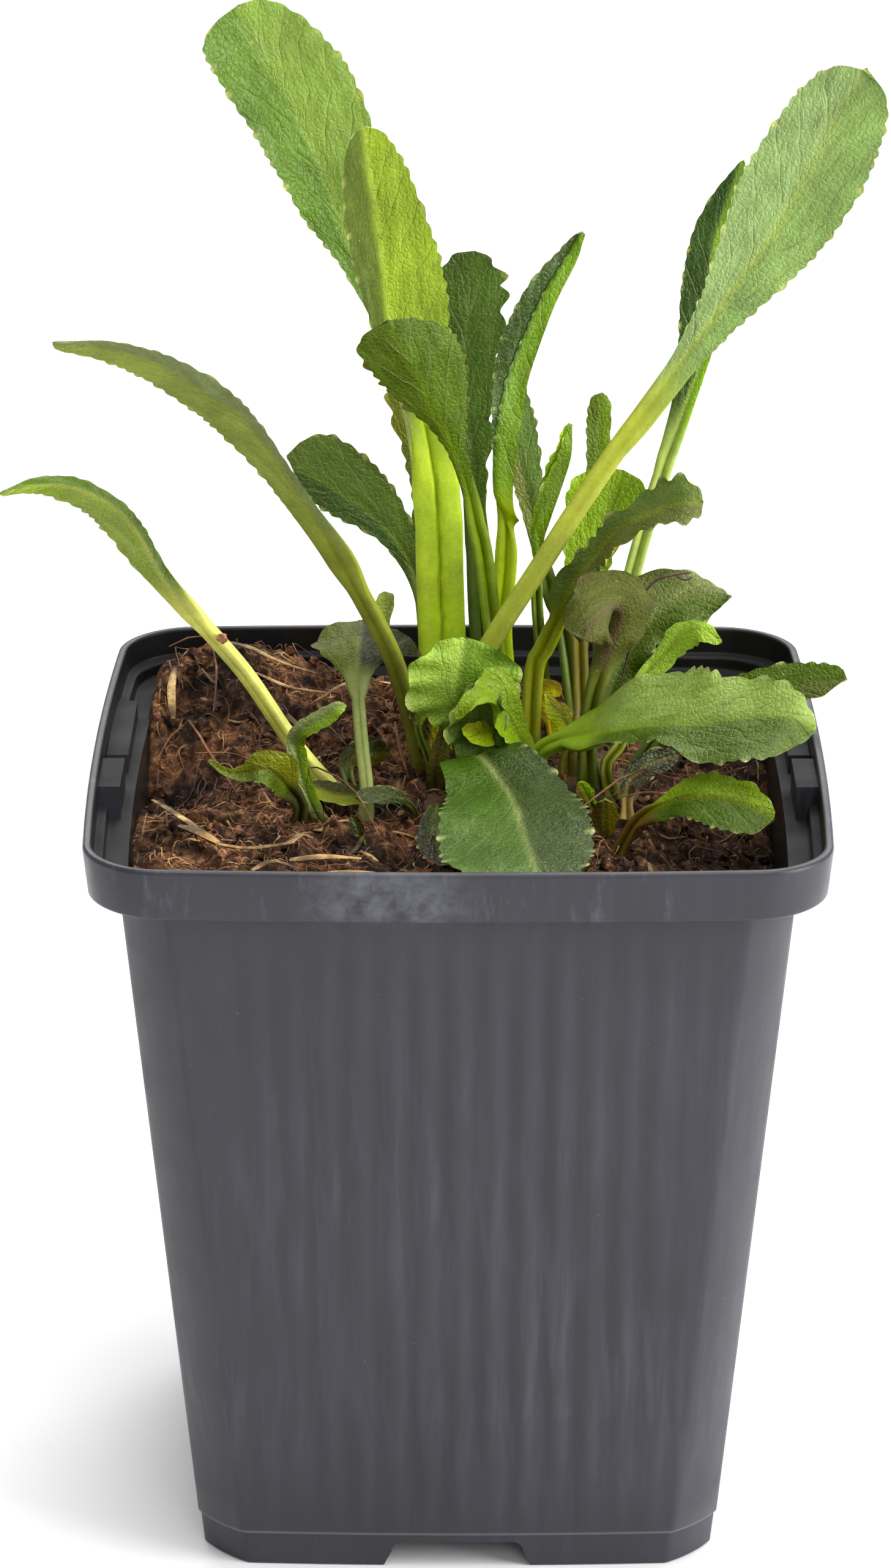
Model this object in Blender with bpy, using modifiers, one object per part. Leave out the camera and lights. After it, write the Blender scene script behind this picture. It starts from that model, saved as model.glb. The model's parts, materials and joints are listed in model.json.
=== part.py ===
"""A young shasta daisy in a square nursery pot.

The pot is a thin tapered plastic pot with cut corners, a deep square rim and a base that stands on
four pads between two crossing drainage channels. It is filled with a fibrous growing medium. A woody
crown lies at the surface, and every leaf, with its own stalk, is a piece seated on the crown or in the
medium.

Frame: the origin is the centre of the pot's base on the ground, +Z is up, and the front of the pot
faces -Y. All lengths below are millimetres; MM turns them into Blender's metres.
"""

from math import cos, exp, hypot, pi, radians, sin

import bmesh
import bpy
from mathutils import Matrix, Vector, noise

MM = 0.001
GAP = 0.3  # clearance between pieces that touch on the real plant

# Pot
POT_HEIGHT = 97.6
RIM_HALF = 45.0
RIM_CORNER = 9.0
RIM_HEIGHT = 6.4
RIM_DRAFT = 0.5  # how far the rim's skirt leans in at its lower edge
SIDE_BOW = 1.3  # how far a side's ends lie behind its middle at the rim
BODY_TOP_HALF = 40.8
BODY_FOOT_HALF = 33.1
CORNER_CUT = 5.6
WALL = 0.9
FOOT_HEIGHT = 4.6
FOOT_INSET = 0.3
FOOT_HALF = 32.4
FLOOR = 1.0
EDGE = 0.35  # radius taken off the lip and the foot's edge
INNER_STEP_HEIGHT = 3.6  # from the lip down to the first step inside the rim
INNER_STEP = 1.2
LEDGE_HEIGHT = 5.4  # from the lip down to the ledge where the rim meets the body
CHANNEL_WIDTH = 16.4
CHANNEL_HEIGHT = 3.5
CHANNEL_ROUNDING = 1.4
DRAIN_RADIUS = 3.5
DRAIN_SPACING = 21.0
LUG_THICKNESS = 3.0
LUGS = [(3.0, 23.0, 94.6), (-13.0, -3.0, 96.4)]  # from y, to y, top z, on the left and right walls
SIDE_STEPS = 6
CORNER_STEPS = 4
ROUND_STEPS = 16
POT_COLOUR = (0.075, 0.08, 0.088)

# Growing medium
SOIL_BOTTOM = CHANNEL_HEIGHT + WALL + GAP
SOIL_LEVEL = 89.6
SOIL_CELLS = 26
# Mounds and hollows: x, y, height, spread
SOIL_FORMS = [
    (-30, 33, 8.0, 11),
    (2, 38, 2.0, 12),
    (-36, 8, -5.0, 6),
    (-29, -27, 2.2, 12),
    (36, -6, -5.5, 13),
    (30, 38, 1.5, 10),
    (34, -34, -3.0, 12),
    (8, -30, 1.0, 8),
]
SOIL_ROUGHNESS = 0.5
CRUMB = 3.0  # size of the surface's small unevenness
SOIL_COLOUR = (0.09, 0.042, 0.022)

# Crown: the shoots' woody bases, each x, y, half length in x and in y
CROWN_TOP = 89.5
CROWN_DEPTH = 6.0
POCKET_HEADROOM = 2.4  # how far the medium is cut away above the crown
CROWN_SHOOTS = [(-3.4, 5.2, 5.4, 7.0), (2.0, 22.0, 9.0, 13.0), (15.8, 15.5, 8.4, 21.0)]
CROWN_COLOUR = (0.16, 0.12, 0.05)

# Leaves
BLADE_THICKNESS = 0.6
STALK_THICKNESS = 1.5
ROW_LENGTH = 5.0  # length of leaf between two rows of points
CURVE_STEPS = 16  # steps of a curve between two of its given points
STALK_FADE = 0.2  # share of a leaf's length over which the thick stalk thins into the blade
LEAF_ROUGHNESS = 0.45
TO_VIEWER = (0.0, -0.94, 0.35)  # the way most leaves face: forwards and a little up
UPWARDS = (0.0, -0.5, 0.85)


def clear_scene():
    for thing in list(bpy.data.objects):
        bpy.data.objects.remove(thing, do_unlink=True)


def collection(name):
    made = bpy.data.collections.new(name)
    bpy.context.scene.collection.children.link(made)
    return made


def finish(thing, colour, roughness):
    """Gives a piece its own Principled material."""
    material = bpy.data.materials.new(thing.name)
    material.use_nodes = True
    shader = material.node_tree.nodes["Principled BSDF"]
    shader.inputs["Base Color"].default_value = (*colour, 1.0)
    shader.inputs["Roughness"].default_value = roughness
    shader.inputs["Metallic"].default_value = 0.0
    thing.data.materials.append(material)


def new_object(name, shape, home):
    """Turns a bmesh in millimetres into a named object."""
    bmesh.ops.scale(shape, vec=(MM, MM, MM), verts=shape.verts)
    mesh = bpy.data.meshes.new(name)
    shape.to_mesh(mesh)
    shape.free()
    thing = bpy.data.objects.new(name, mesh)
    home.objects.link(thing)
    return thing


def cut_with(thing, tool, operation):
    """Joins or cuts thing with tool, which stays as a hidden guide."""
    tool.hide_render = True
    tool.display_type = "WIRE"
    step = thing.modifiers.new(tool.name, "BOOLEAN")
    step.operation = operation
    step.solver = "EXACT"
    step.object = tool


# Pot


def square_outline(half, corner, rounded):
    """Points round a square with cut or rounded corners and slightly bowed sides."""
    flat = half - corner
    outline = []
    for quarter in range(4):
        turn = Matrix.Rotation(quarter * pi / 2, 2)
        for step in range(SIDE_STEPS):
            outline.append(turn @ Vector((half, flat * (2 * step / SIDE_STEPS - 1))))
        for step in range(CORNER_STEPS):
            share = step / CORNER_STEPS
            if rounded:
                point = Vector((flat + corner * cos(share * pi / 2), flat + corner * sin(share * pi / 2)))
            else:
                point = Vector((half - corner * share, flat + corner * share))
            outline.append(turn @ point)
    bow = SIDE_BOW / RIM_HALF
    return [
        Vector((p.x * (1 - bow * (p.y / half) ** 2), p.y * (1 - bow * (p.x / half) ** 2))) for p in outline
    ]


def pot_sections():
    """Sections of the pot's wall from the inside floor up to the lip and down the outside."""
    rim_bottom = POT_HEIGHT - RIM_HEIGHT
    ledge = POT_HEIGHT - LEDGE_HEIGHT
    step = POT_HEIGHT - INNER_STEP_HEIGHT
    lip_inner = RIM_HALF - WALL - EDGE / 2
    inner_cut = CORNER_CUT - WALL / 2
    inner_corner = RIM_CORNER - WALL
    return [
        (FOOT_HALF - WALL, inner_cut, False, FLOOR),
        (BODY_FOOT_HALF - WALL, inner_cut, False, FOOT_HEIGHT + EDGE),
        (BODY_TOP_HALF - WALL, inner_cut, False, ledge),
        (lip_inner - INNER_STEP, inner_corner, True, ledge),
        (lip_inner - INNER_STEP, inner_corner, True, step - EDGE),
        (lip_inner - EDGE, inner_corner, True, step),
        (lip_inner, inner_corner, True, POT_HEIGHT - EDGE),
        (lip_inner + EDGE, inner_corner, True, POT_HEIGHT),
        (RIM_HALF - EDGE, RIM_CORNER, True, POT_HEIGHT),
        (RIM_HALF, RIM_CORNER, True, POT_HEIGHT - EDGE),
        (RIM_HALF - RIM_DRAFT, RIM_CORNER, True, rim_bottom + EDGE),
        (RIM_HALF - RIM_DRAFT - EDGE, RIM_CORNER, True, rim_bottom),
        (BODY_TOP_HALF, CORNER_CUT, False, rim_bottom),
        (BODY_FOOT_HALF, CORNER_CUT, False, FOOT_HEIGHT + EDGE),
        (BODY_FOOT_HALF - FOOT_INSET, CORNER_CUT, False, FOOT_HEIGHT),
        (FOOT_HALF, CORNER_CUT, False, EDGE),
        (FOOT_HALF - EDGE, CORNER_CUT, False, 0.0),
    ]


def pot_wall():
    """Lofts the wall through its sections, whose corners change from cut to round."""
    shape = bmesh.new()
    rings = []
    for half, corner, rounded, height in pot_sections():
        outline = square_outline(half, corner, rounded)
        rings.append([shape.verts.new((point.x, point.y, height)) for point in outline])
    for lower, upper in zip(rings, rings[1:]):
        for index in range(len(lower)):
            shape.faces.new((lower[index - 1], lower[index], upper[index], upper[index - 1]))
    shape.faces.new(rings[0])
    shape.faces.new(rings[-1])
    bmesh.ops.recalc_face_normals(shape, faces=shape.faces)
    return shape


def bar(name, width, top, length, along_x, rounding, home):
    """A long bar centred under the pot, for a drainage channel or the cover over it."""
    shape = bmesh.new()
    bmesh.ops.create_cube(shape, size=1.0)
    bottom = FLOOR / 2 if rounding == 0 else -CHANNEL_HEIGHT
    size = (length, width) if along_x else (width, length)
    bmesh.ops.scale(shape, vec=(*size, top - bottom), verts=shape.verts)
    bmesh.ops.translate(shape, vec=(0, 0, (top + bottom) / 2), verts=shape.verts)
    if rounding:
        lengthwise = 0 if along_x else 1
        edges = []
        for edge in shape.edges:
            start, end = edge.verts
            if start.co.z > 0 and end.co.z > 0 and abs(start.co[lengthwise] - end.co[lengthwise]) > width:
                edges.append(edge)
        bmesh.ops.bevel(shape, geom=edges, offset=rounding, segments=3, affect="EDGES", profile=0.5)
    return new_object(name, shape, home)


def make_pot(home, tools):
    pot = new_object("pot", pot_wall(), home)
    cover_length = 2 * (FOOT_HALF - EDGE / 3)
    for along_x in (True, False):
        side = "across" if along_x else "lengthwise"
        cover_top = CHANNEL_HEIGHT + WALL
        cover = bar(
            f"channel_cover_{side}", CHANNEL_WIDTH + 2 * WALL, cover_top, cover_length, along_x, 0, tools
        )
        cut_with(pot, cover, "UNION")
    for along_x in (True, False):
        side = "across" if along_x else "lengthwise"
        channel = bar(
            f"channel_{side}", CHANNEL_WIDTH, CHANNEL_HEIGHT, 2 * RIM_HALF, along_x, CHANNEL_ROUNDING, tools
        )
        cut_with(pot, channel, "DIFFERENCE")
    places = [(0, 0), (DRAIN_SPACING, 0), (-DRAIN_SPACING, 0), (0, DRAIN_SPACING), (0, -DRAIN_SPACING)]
    for number, (x, y) in enumerate(places):
        shape = bmesh.new()
        bmesh.ops.create_cone(
            shape, cap_ends=True, segments=ROUND_STEPS, radius1=DRAIN_RADIUS, radius2=DRAIN_RADIUS,
            depth=4 * FLOOR,
        )
        bmesh.ops.translate(shape, vec=(x, y, CHANNEL_HEIGHT), verts=shape.verts)
        cut_with(pot, new_object(f"drain_hole_{number}", shape, tools), "DIFFERENCE")
    for side in (-1, 1):
        for number, (start, end, top) in enumerate(LUGS):
            inner = RIM_HALF - WALL - LUG_THICKNESS
            outer = RIM_HALF - RIM_DRAFT - SIDE_BOW / 2
            bottom = POT_HEIGHT - LEDGE_HEIGHT - WALL / 2
            shape = bmesh.new()
            bmesh.ops.create_cube(shape, size=1.0)
            bmesh.ops.scale(shape, vec=(outer - inner, end - start, top - bottom), verts=shape.verts)
            middle = (side * (inner + outer) / 2, (start + end) / 2, (top + bottom) / 2)
            bmesh.ops.translate(shape, vec=middle, verts=shape.verts)
            lug = new_object(f"stacking_lug_{'left' if side < 0 else 'right'}_{number}", shape, tools)
            cut_with(pot, lug, "UNION")
    finish(pot, POT_COLOUR, 0.42)


# Growing medium


def soil_height(x, y):
    height = SOIL_LEVEL
    for form_x, form_y, rise, spread in SOIL_FORMS:
        height += rise * exp(-((x - form_x) ** 2 + (y - form_y) ** 2) / (2 * spread**2))
    return height + SOIL_ROUGHNESS * noise.noise(Vector((x / CRUMB, y / CRUMB, 0)))


def body_inner_half(height):
    """Half the width inside the pot's body at a height."""
    foot = FOOT_HEIGHT + EDGE
    share = (height - foot) / (POT_HEIGHT - LEDGE_HEIGHT - foot)
    return BODY_FOOT_HALF + (BODY_TOP_HALF - BODY_FOOT_HALF) * share - WALL


def in_pot(point, half):
    """Moves a point of the square from -1 to 1 into the cut-cornered, bowed outline of the pot."""
    reach = max(abs(point.x), abs(point.y), 1e-9)
    across = max(1.0, (abs(point.x) + abs(point.y)) / reach)
    cut = CORNER_CUT - WALL / 2
    scale = half * min(1, (2 - cut / half) / across)
    x, y = point.x * scale, point.y * scale
    bow = SIDE_BOW / RIM_HALF
    return x * (1 - bow * (y / half) ** 2), y * (1 - bow * (x / half) ** 2)


def make_soil(home, tools):
    """A grid raised to the medium's surface, with its sides taken down to the pot's floor."""
    level_half = body_inner_half(SOIL_LEVEL) - GAP
    bottom_half = body_inner_half(SOIL_BOTTOM) - GAP
    shape = bmesh.new()
    bmesh.ops.create_grid(shape, x_segments=SOIL_CELLS, y_segments=SOIL_CELLS, size=1.0)
    rim = [edge for edge in shape.edges if edge.is_boundary]
    sides = bmesh.ops.extrude_edge_only(shape, edges=rim)
    lower = [part for part in sides["geom"] if isinstance(part, bmesh.types.BMVert)]
    bottom = [part for part in sides["geom"] if isinstance(part, bmesh.types.BMEdge) and part.is_boundary]
    bmesh.ops.contextual_create(shape, geom=bottom)
    for vertex in shape.verts:
        if vertex in lower:
            vertex.co = (*in_pot(vertex.co, bottom_half), SOIL_BOTTOM)
        else:
            height = soil_height(*in_pot(vertex.co, level_half))
            vertex.co = (*in_pot(vertex.co, body_inner_half(height) - GAP), height)
    bmesh.ops.recalc_face_normals(shape, faces=shape.faces)
    soil = new_object("growing_medium", shape, home)
    for number, shoot in enumerate(CROWN_SHOOTS):
        pocket = crown_shoot(f"crown_pocket_{number}", shoot, GAP, POCKET_HEADROOM, tools)
        cut_with(soil, pocket, "DIFFERENCE")
    finish(soil, SOIL_COLOUR, 0.95)


# Crown


def crown_shoot(name, shoot, clearance, headroom, home):
    """One shoot's base: a short oval stump. Clearance and headroom make it a pocket."""
    x, y, half_x, half_y = shoot
    shape = bmesh.new()
    depth = CROWN_DEPTH + 2 * clearance + headroom
    bmesh.ops.create_cone(shape, cap_ends=True, segments=ROUND_STEPS, radius1=1.0, radius2=1.0, depth=depth)
    bmesh.ops.scale(shape, vec=(half_x + clearance, half_y + clearance, 1.0), verts=shape.verts)
    middle = CROWN_TOP - CROWN_DEPTH / 2 + headroom / 2
    bmesh.ops.translate(shape, vec=(x, y, middle), verts=shape.verts)
    return new_object(name, shape, home)


def make_crown(home, tools):
    """The shoots' bases grow together into one woody crown."""
    first, *others = CROWN_SHOOTS
    crown = crown_shoot("crown", first, 0, 0, home)
    for number, shoot in enumerate(others):
        cut_with(crown, crown_shoot(f"crown_shoot_{number}", shoot, 0, 0, tools), "UNION")
    finish(crown, CROWN_COLOUR, 0.8)


# Leaves


def smooth_line(points, count):
    """Evenly spaced points on a Catmull-Rom curve through the given ones."""
    ends = [2 * points[0] - points[1], *points, 2 * points[-1] - points[-2]]
    fine = []
    for a, b, c, d in zip(ends, ends[1:], ends[2:], ends[3:]):
        for step in range(CURVE_STEPS):
            t = step / CURVE_STEPS
            bend = (2 * a - 5 * b + 4 * c - d) * t * t + (3 * b - a - 3 * c + d) * t**3
            fine.append((2 * b + (c - a) * t + bend) / 2)
    fine.append(points[-1])
    reach = [0.0]
    for here, there in zip(fine, fine[1:]):
        reach.append(reach[-1] + (there - here).length)
    line = []
    index = 0
    for number in range(count):
        wanted = reach[-1] * number / (count - 1)
        while index < len(fine) - 2 and reach[index + 1] < wanted:
            index += 1
        share = (wanted - reach[index]) / (reach[index + 1] - reach[index])
        line.append(fine[index].lerp(fine[index + 1], min(share, 1.0)))
    return line


def half_width(along, width, start, rise, tip, stalk):
    """Half the leaf's width: a stalk that fades into a spoon-shaped blade with a round end."""
    blade = max(0.0, (along - start) / (1 - start))
    peak = (rise / (rise + tip)) ** rise * (tip / (rise + tip)) ** tip
    spoon = width / 2 * blade**rise * (1 - blade) ** tip / peak if blade < 1 else 0.0
    return max(spoon, stalk / 2 * (1 - blade) ** 0.8, BLADE_THICKNESS / 2)


def leaf(name, root, spine, width, colour, start=0.45, rise=1.1, tip=0.45, fold=(5, 5), stalk=2.4,
         face=TO_VIEWER, in_soil=False):
    """A leaf with its stalk.

    root is where the stalk is seated, and spine the points its midrib passes, from there to the tip.
    The blade begins at the share start of the length. fold lifts its left and right halves towards
    the face direction, in degrees.
    """
    ground = soil_height(*root) + GAP if in_soil else CROWN_TOP
    points = [Vector((*root, ground))] + [Vector(point) for point in spine]
    length = sum((there - here).length for here, there in zip(points, points[1:]))
    rows = max(5, min(14, round(length / ROW_LENGTH)))
    columns = 4 if width > 5 else 2
    foot, above, *_ = smooth_line(points, rows + 1)
    rising = (above - foot).normalized()
    sideways = rising.cross(Vector(face)).normalized()
    hang = stalk / 2 * abs(sideways.z) + STALK_THICKNESS / 2 * abs(sideways.cross(rising).z)
    points[0].z += GAP + hang
    line = smooth_line(points, rows + 1)
    shape = bmesh.new()
    bmesh.ops.create_grid(shape, x_segments=rows, y_segments=columns, size=1.0)
    weights = {}
    for vertex in shape.verts:
        row = round((vertex.co.x + 1) / 2 * rows)
        across = vertex.co.y
        along = row / rows
        tangent = (line[min(row + 1, rows)] - line[max(row - 1, 0)]).normalized()
        side = tangent.cross(Vector(face)).normalized()
        normal = side.cross(tangent)
        lift = radians(fold[0] if across < 0 else fold[1])
        half = half_width(along, width, start, rise, tip, stalk)
        vertex.co = line[row] + half * (side * across * cos(lift) + normal * abs(across) * sin(lift))
        weights[vertex.index] = max(0.0, min(1.0, (start - along) / STALK_FADE + 0.75))
    bmesh.ops.recalc_face_normals(shape, faces=shape.faces)
    thing = new_object(name, shape, bpy.data.collections[PLANT])
    group = thing.vertex_groups.new(name="stalk")
    for index, weight in weights.items():
        group.add([index], weight, "REPLACE")
    solid = thing.modifiers.new("thickness", "SOLIDIFY")
    solid.thickness = STALK_THICKNESS * MM
    solid.offset = 0.0
    solid.vertex_group = group.name
    solid.thickness_vertex_group = BLADE_THICKNESS / STALK_THICKNESS
    finish(thing, colour, LEAF_ROUGHNESS)


# Leaves by place. Leaf colours run from the youngest, brightest leaves to withered ones.

GREEN = (0.13, 0.25, 0.045)
BRIGHT = (0.24, 0.4, 0.03)
DARK = (0.05, 0.11, 0.028)
OLIVE = (0.15, 0.19, 0.03)
WITHERED = (0.6, 0.28, 0.03)


def back_leaves():
    """The leaves that rise at the back of the clump."""
    leaf(
        "leaf_tall_left", root=(-0.5, 26),
        spine=[(-2.5, 28, 105), (-5.5, 30, 119), (-8, 32, 130), (-11, 34, 141.5), (-14.5, 36, 154),
               (-17, 36.5, 160.5), (-20.5, 37, 168), (-23.5, 38, 173.5), (-27.5, 38, 182)],
        width=15.5, colour=GREEN, start=0.5, rise=1.2, tip=0.38, fold=(12, 8), stalk=3.2,
    )
    leaf(
        "leaf_dark_back", root=(4, 31),
        spine=[(3, 31, 104), (2.5, 32, 116), (1.5, 33, 128), (1, 34, 136), (1.5, 35, 143.5),
               (2, 36, 150.5)],
        width=11.5, colour=DARK, start=0.4, rise=1.0, tip=0.42, stalk=3.6,
    )
    leaf(
        "leaf_dark_inner", root=(-1.5, 31),
        spine=[(-4.5, 34, 103), (-5.5, 35, 115), (-5.5, 36, 124), (-6, 37, 135)],
        width=8, colour=DARK, start=0.4, rise=1, tip=0.5, stalk=2,
    )
    leaf(
        "leaf_dark_left", root=(-4, 22),
        spine=[(-4, 23, 103.5), (-5, 24.5, 110), (-8, 26, 115.5), (-11.5, 28, 118.5), (-15, 30, 120.5),
               (-19, 31.5, 122.5), (-22, 32.5, 124.5)],
        width=10, colour=DARK, tip=0.38,
    )
    leaf(
        "leaf_tip_behind_arch", root=(-5, 20),
        spine=[(-8.5, 21, 97.5), (-10, 22, 103.5), (-9.5, 23, 106.5), (-9, 24, 109.5)],
        width=4, colour=DARK, start=0.4, rise=1, tip=0.5, stalk=1.6,
    )
    leaf(
        "leaf_upright_small", root=(15, 34),
        spine=[(16, 35, 98.5), (17, 36, 106.5), (17.5, 37, 114.5), (18, 38, 123), (18.5, 39, 131)],
        width=3.6, colour=GREEN, start=0.6, rise=0.7, tip=0.4, fold=(0, 0), stalk=2.2,
    )
    leaf(
        "leaf_bright_behind", root=(14, 8.5),
        spine=[(14, 10, 92.5), (15.5, 12, 96), (15.5, 16, 101), (15.5, 20, 105), (16.5, 23.5, 109.5),
               (18, 26, 115.5), (19.5, 27, 120), (21, 28, 124)],
        width=10.5, colour=BRIGHT, start=0.55, stalk=2.2,
    )
    leaf(
        "leaf_behind_tall_right", root=(17.5, 27),
        spine=[(20.5, 31, 99), (22.5, 33, 108.5), (25.5, 35, 119), (29, 36, 129.5), (31.5, 37, 137),
               (32, 37, 145), (33, 37, 152.5), (36, 37, 162)],
        width=8.5, colour=DARK, start=0.5, rise=0.9, tip=0.5,
    )
    leaf(
        "leaf_dark_behind_fold", root=(14.5, 22),
        spine=[(15, 22, 92.5), (13.5, 24, 104), (12, 25, 108), (10, 26, 115.5), (8.5, 26, 123),
               (7, 26, 130), (6.5, 26, 137)],
        width=7, colour=DARK, start=0.5, rise=1.2, tip=0.5,
    )


def centre_leaves():
    """The tall leaves of the middle shoot."""
    leaf(
        "leaf_tall_centre", root=(-1.5, 17.5),
        spine=[(-3, 18, 106), (-3, 18, 116.5), (-3, 18, 127.5), (-4.5, 18, 135.5), (-7, 18, 141),
               (-8.5, 18, 146), (-10, 19, 155.5), (-11, 20, 165), (-11.5, 21, 170)],
        width=13, colour=BRIGHT, start=0.5, rise=0.8, tip=0.5, fold=(55, 5), stalk=5.5,
    )
    leaf(
        "leaf_nodding_centre", root=(6.5, 15),
        spine=[(4.5, 15.5, 106.5), (3.5, 13.5, 118), (1.5, 10, 127), (-1, 6, 135), (-3.5, 2, 142),
               (-6.5, -2, 147.5), (-9.5, -4, 152)],
        width=13, colour=DARK, start=0.5, rise=1.3, tip=0.36, fold=(-40, 0), stalk=2.6,
    )
    leaf(
        "leaf_folded_centre", root=(7.5, 20.5),
        spine=[(5.5, 20, 103.5), (6, 20, 114), (6.5, 20, 124), (7.5, 20, 131.5), (8.5, 21, 137.5),
               (10, 21, 142.5), (12, 21, 148), (14.5, 22, 153), (15.5, 22, 156.5)],
        width=11, colour=GREEN, tip=0.8, fold=(20, 70), stalk=3.0,
    )
    leaf(
        "leaf_folded_small", root=(12, 27),
        spine=[(10.5, 24, 102), (10, 22, 110), (10.5, 21, 116.5), (11.5, 20, 120), (13, 20, 124.5),
               (14, 20, 128.5), (14, 20, 132.5)],
        width=7, colour=GREEN, start=0.55, rise=1.2, tip=0.6, fold=(20, 72), stalk=1.6,
    )
    leaf(
        "leaf_tall_right", root=(2.5, 11),
        spine=[(2, 11.5, 101.5), (4.5, 12, 107), (10, 13.5, 115.5), (16, 16, 124.5), (22, 18, 133),
               (26.5, 19, 139), (30.5, 20, 144.5), (35, 22, 150.5), (40, 24, 157.5), (44, 26, 164.5),
               (50, 28, 175.5)],
        width=15, colour=GREEN, start=0.52, rise=1.45, tip=0.4, stalk=3.3,
    )


def left_leaves():
    """The long leaves that arch out to the left."""
    leaf(
        "leaf_arching_left", root=(-4, 10.5),
        spine=[(-6, 10.5, 97), (-8.5, 9.5, 105.5), (-12, 7.5, 113.5), (-15.5, 5, 121), (-18, 3, 126),
               (-22, 1, 133), (-26, -1, 139), (-30.5, -4, 143.5), (-36, -6, 147.5), (-42, -8, 150),
               (-48, -10, 151)],
        width=9, colour=OLIVE, start=0.4, tip=0.5, fold=(0, 0), stalk=2.7, face=(-0.2, -0.75, -0.45),
    )
    leaf(
        "leaf_low_arching_left", root=(-14.5, 1.5),
        spine=[(-20.5, 0, 97), (-26, -2, 106.5), (-31, -5, 114), (-35.5, -9, 121.5),
               (-38.5, -12, 128.5), (-41.5, -15, 133), (-46, -18, 136), (-50, -21, 137),
               (-53.5, -23, 136.5)],
        width=7, colour=GREEN, start=0.5, tip=0.6, fold=(0, 0), stalk=2.1, face=(-0.2, -0.75, -0.35),
        in_soil=True,
    )
    leaf(
        "leaf_curled_olive", root=(-11.5, -7),
        spine=[(-12, -6, 94), (-12.5, 1, 98), (-13, 8, 102), (-12.5, 13, 105), (-12.5, 15, 107.5),
               (-12.5, 12.5, 108.5), (-13, 11, 105.5)],
        width=14, colour=OLIVE, start=0.5, rise=1.6, tip=0.3, fold=(0, 0), stalk=1.8, in_soil=True,
    )
    leaf(
        "leaf_hooked_left", root=(-16.5, -7),
        spine=[(-19.5, -8.5, 98), (-19.5, -9, 101), (-18.5, -10, 103), (-16, -11, 105),
               (-13.5, -12, 107)],
        width=4.2, colour=DARK, start=0.15, rise=0.6, tip=0.5, fold=(10, 10), stalk=2, in_soil=True,
    )
    leaf(
        "leaf_low_left_small", root=(-20, -9.5),
        spine=[(-21.5, -10, 95), (-23.5, -11.5, 97), (-26.5, -13, 98), (-30, -16, 100.5)],
        width=5.5, colour=GREEN, start=0.3, rise=1, tip=0.5, fold=(30, 10), stalk=2, in_soil=True,
    )


def front_leaves():
    """The low leaves before the middle of the clump."""
    leaf(
        "leaf_crinkled_centre", root=(2, 6),
        spine=[(0, 6, 95), (0, 5, 98), (0, 4, 102.5), (0.5, 4, 106.5), (1, 5, 109.5)],
        width=14, colour=GREEN, start=0.3, rise=0.65, tip=0.35, fold=(10, 10), stalk=2,
    )
    leaf(
        "leaf_bright_centre", root=(10.5, 5),
        spine=[(8.5, 3, 95.5), (7.5, 1, 99.5), (5, -1, 102.5), (2, -3, 103.5), (-0.5, -4, 103)],
        width=8, colour=BRIGHT, start=0.3, rise=0.8, tip=0.5, fold=(10, 30), stalk=2,
    )
    leaf(
        "leaf_olive_centre", root=(6, 3),
        spine=[(5, 2, 97.5), (3, 0, 98.5), (0.5, -1, 99.5)],
        width=3.6, colour=OLIVE, start=0.2, rise=0.7, tip=0.5, fold=(0, 0), stalk=1.6,
    )
    leaf(
        "leaf_broad_front", root=(2.5, 2.5),
        spine=[(1.5, -2, 96.5), (2.5, -9, 95.5), (3.5, -18, 95.5), (4.5, -27, 95), (8.5, -36, 95),
               (9.5, -41, 93)],
        width=17.5, colour=DARK, start=0.1, rise=0.7, tip=0.25, stalk=2.5, face=(0, -0.35, 0.94),
    )
    leaf(
        "leaf_behind_front", root=(-2, -1),
        spine=[(-3, -7, 91.5), (-3, -15, 91), (-1, -25, 91)],
        width=5, colour=GREEN, start=0.3, rise=0.8, tip=0.5, stalk=1.6, face=(-0.2, -0.5, 0.85),
    )
    leaf(
        "sheath_olive_centre", root=(-1, 8.5),
        spine=[(-3, 8.5, 93), (-3, 9, 95), (-3, 9, 98)],
        width=4, colour=OLIVE, start=0.2, rise=0.7, tip=0.5, fold=(10, 10), stalk=3,
    )
    leaf(
        "petiole_thin", root=(-2.5, 6),
        spine=[(-4, 6.5, 93.5), (-5, 6.5, 96.5), (-5, 7, 99), (-5, 7.5, 102)],
        width=2.4, colour=GREEN, start=0.6, rise=0.8, tip=0.6, stalk=1.0,
    )


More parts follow.
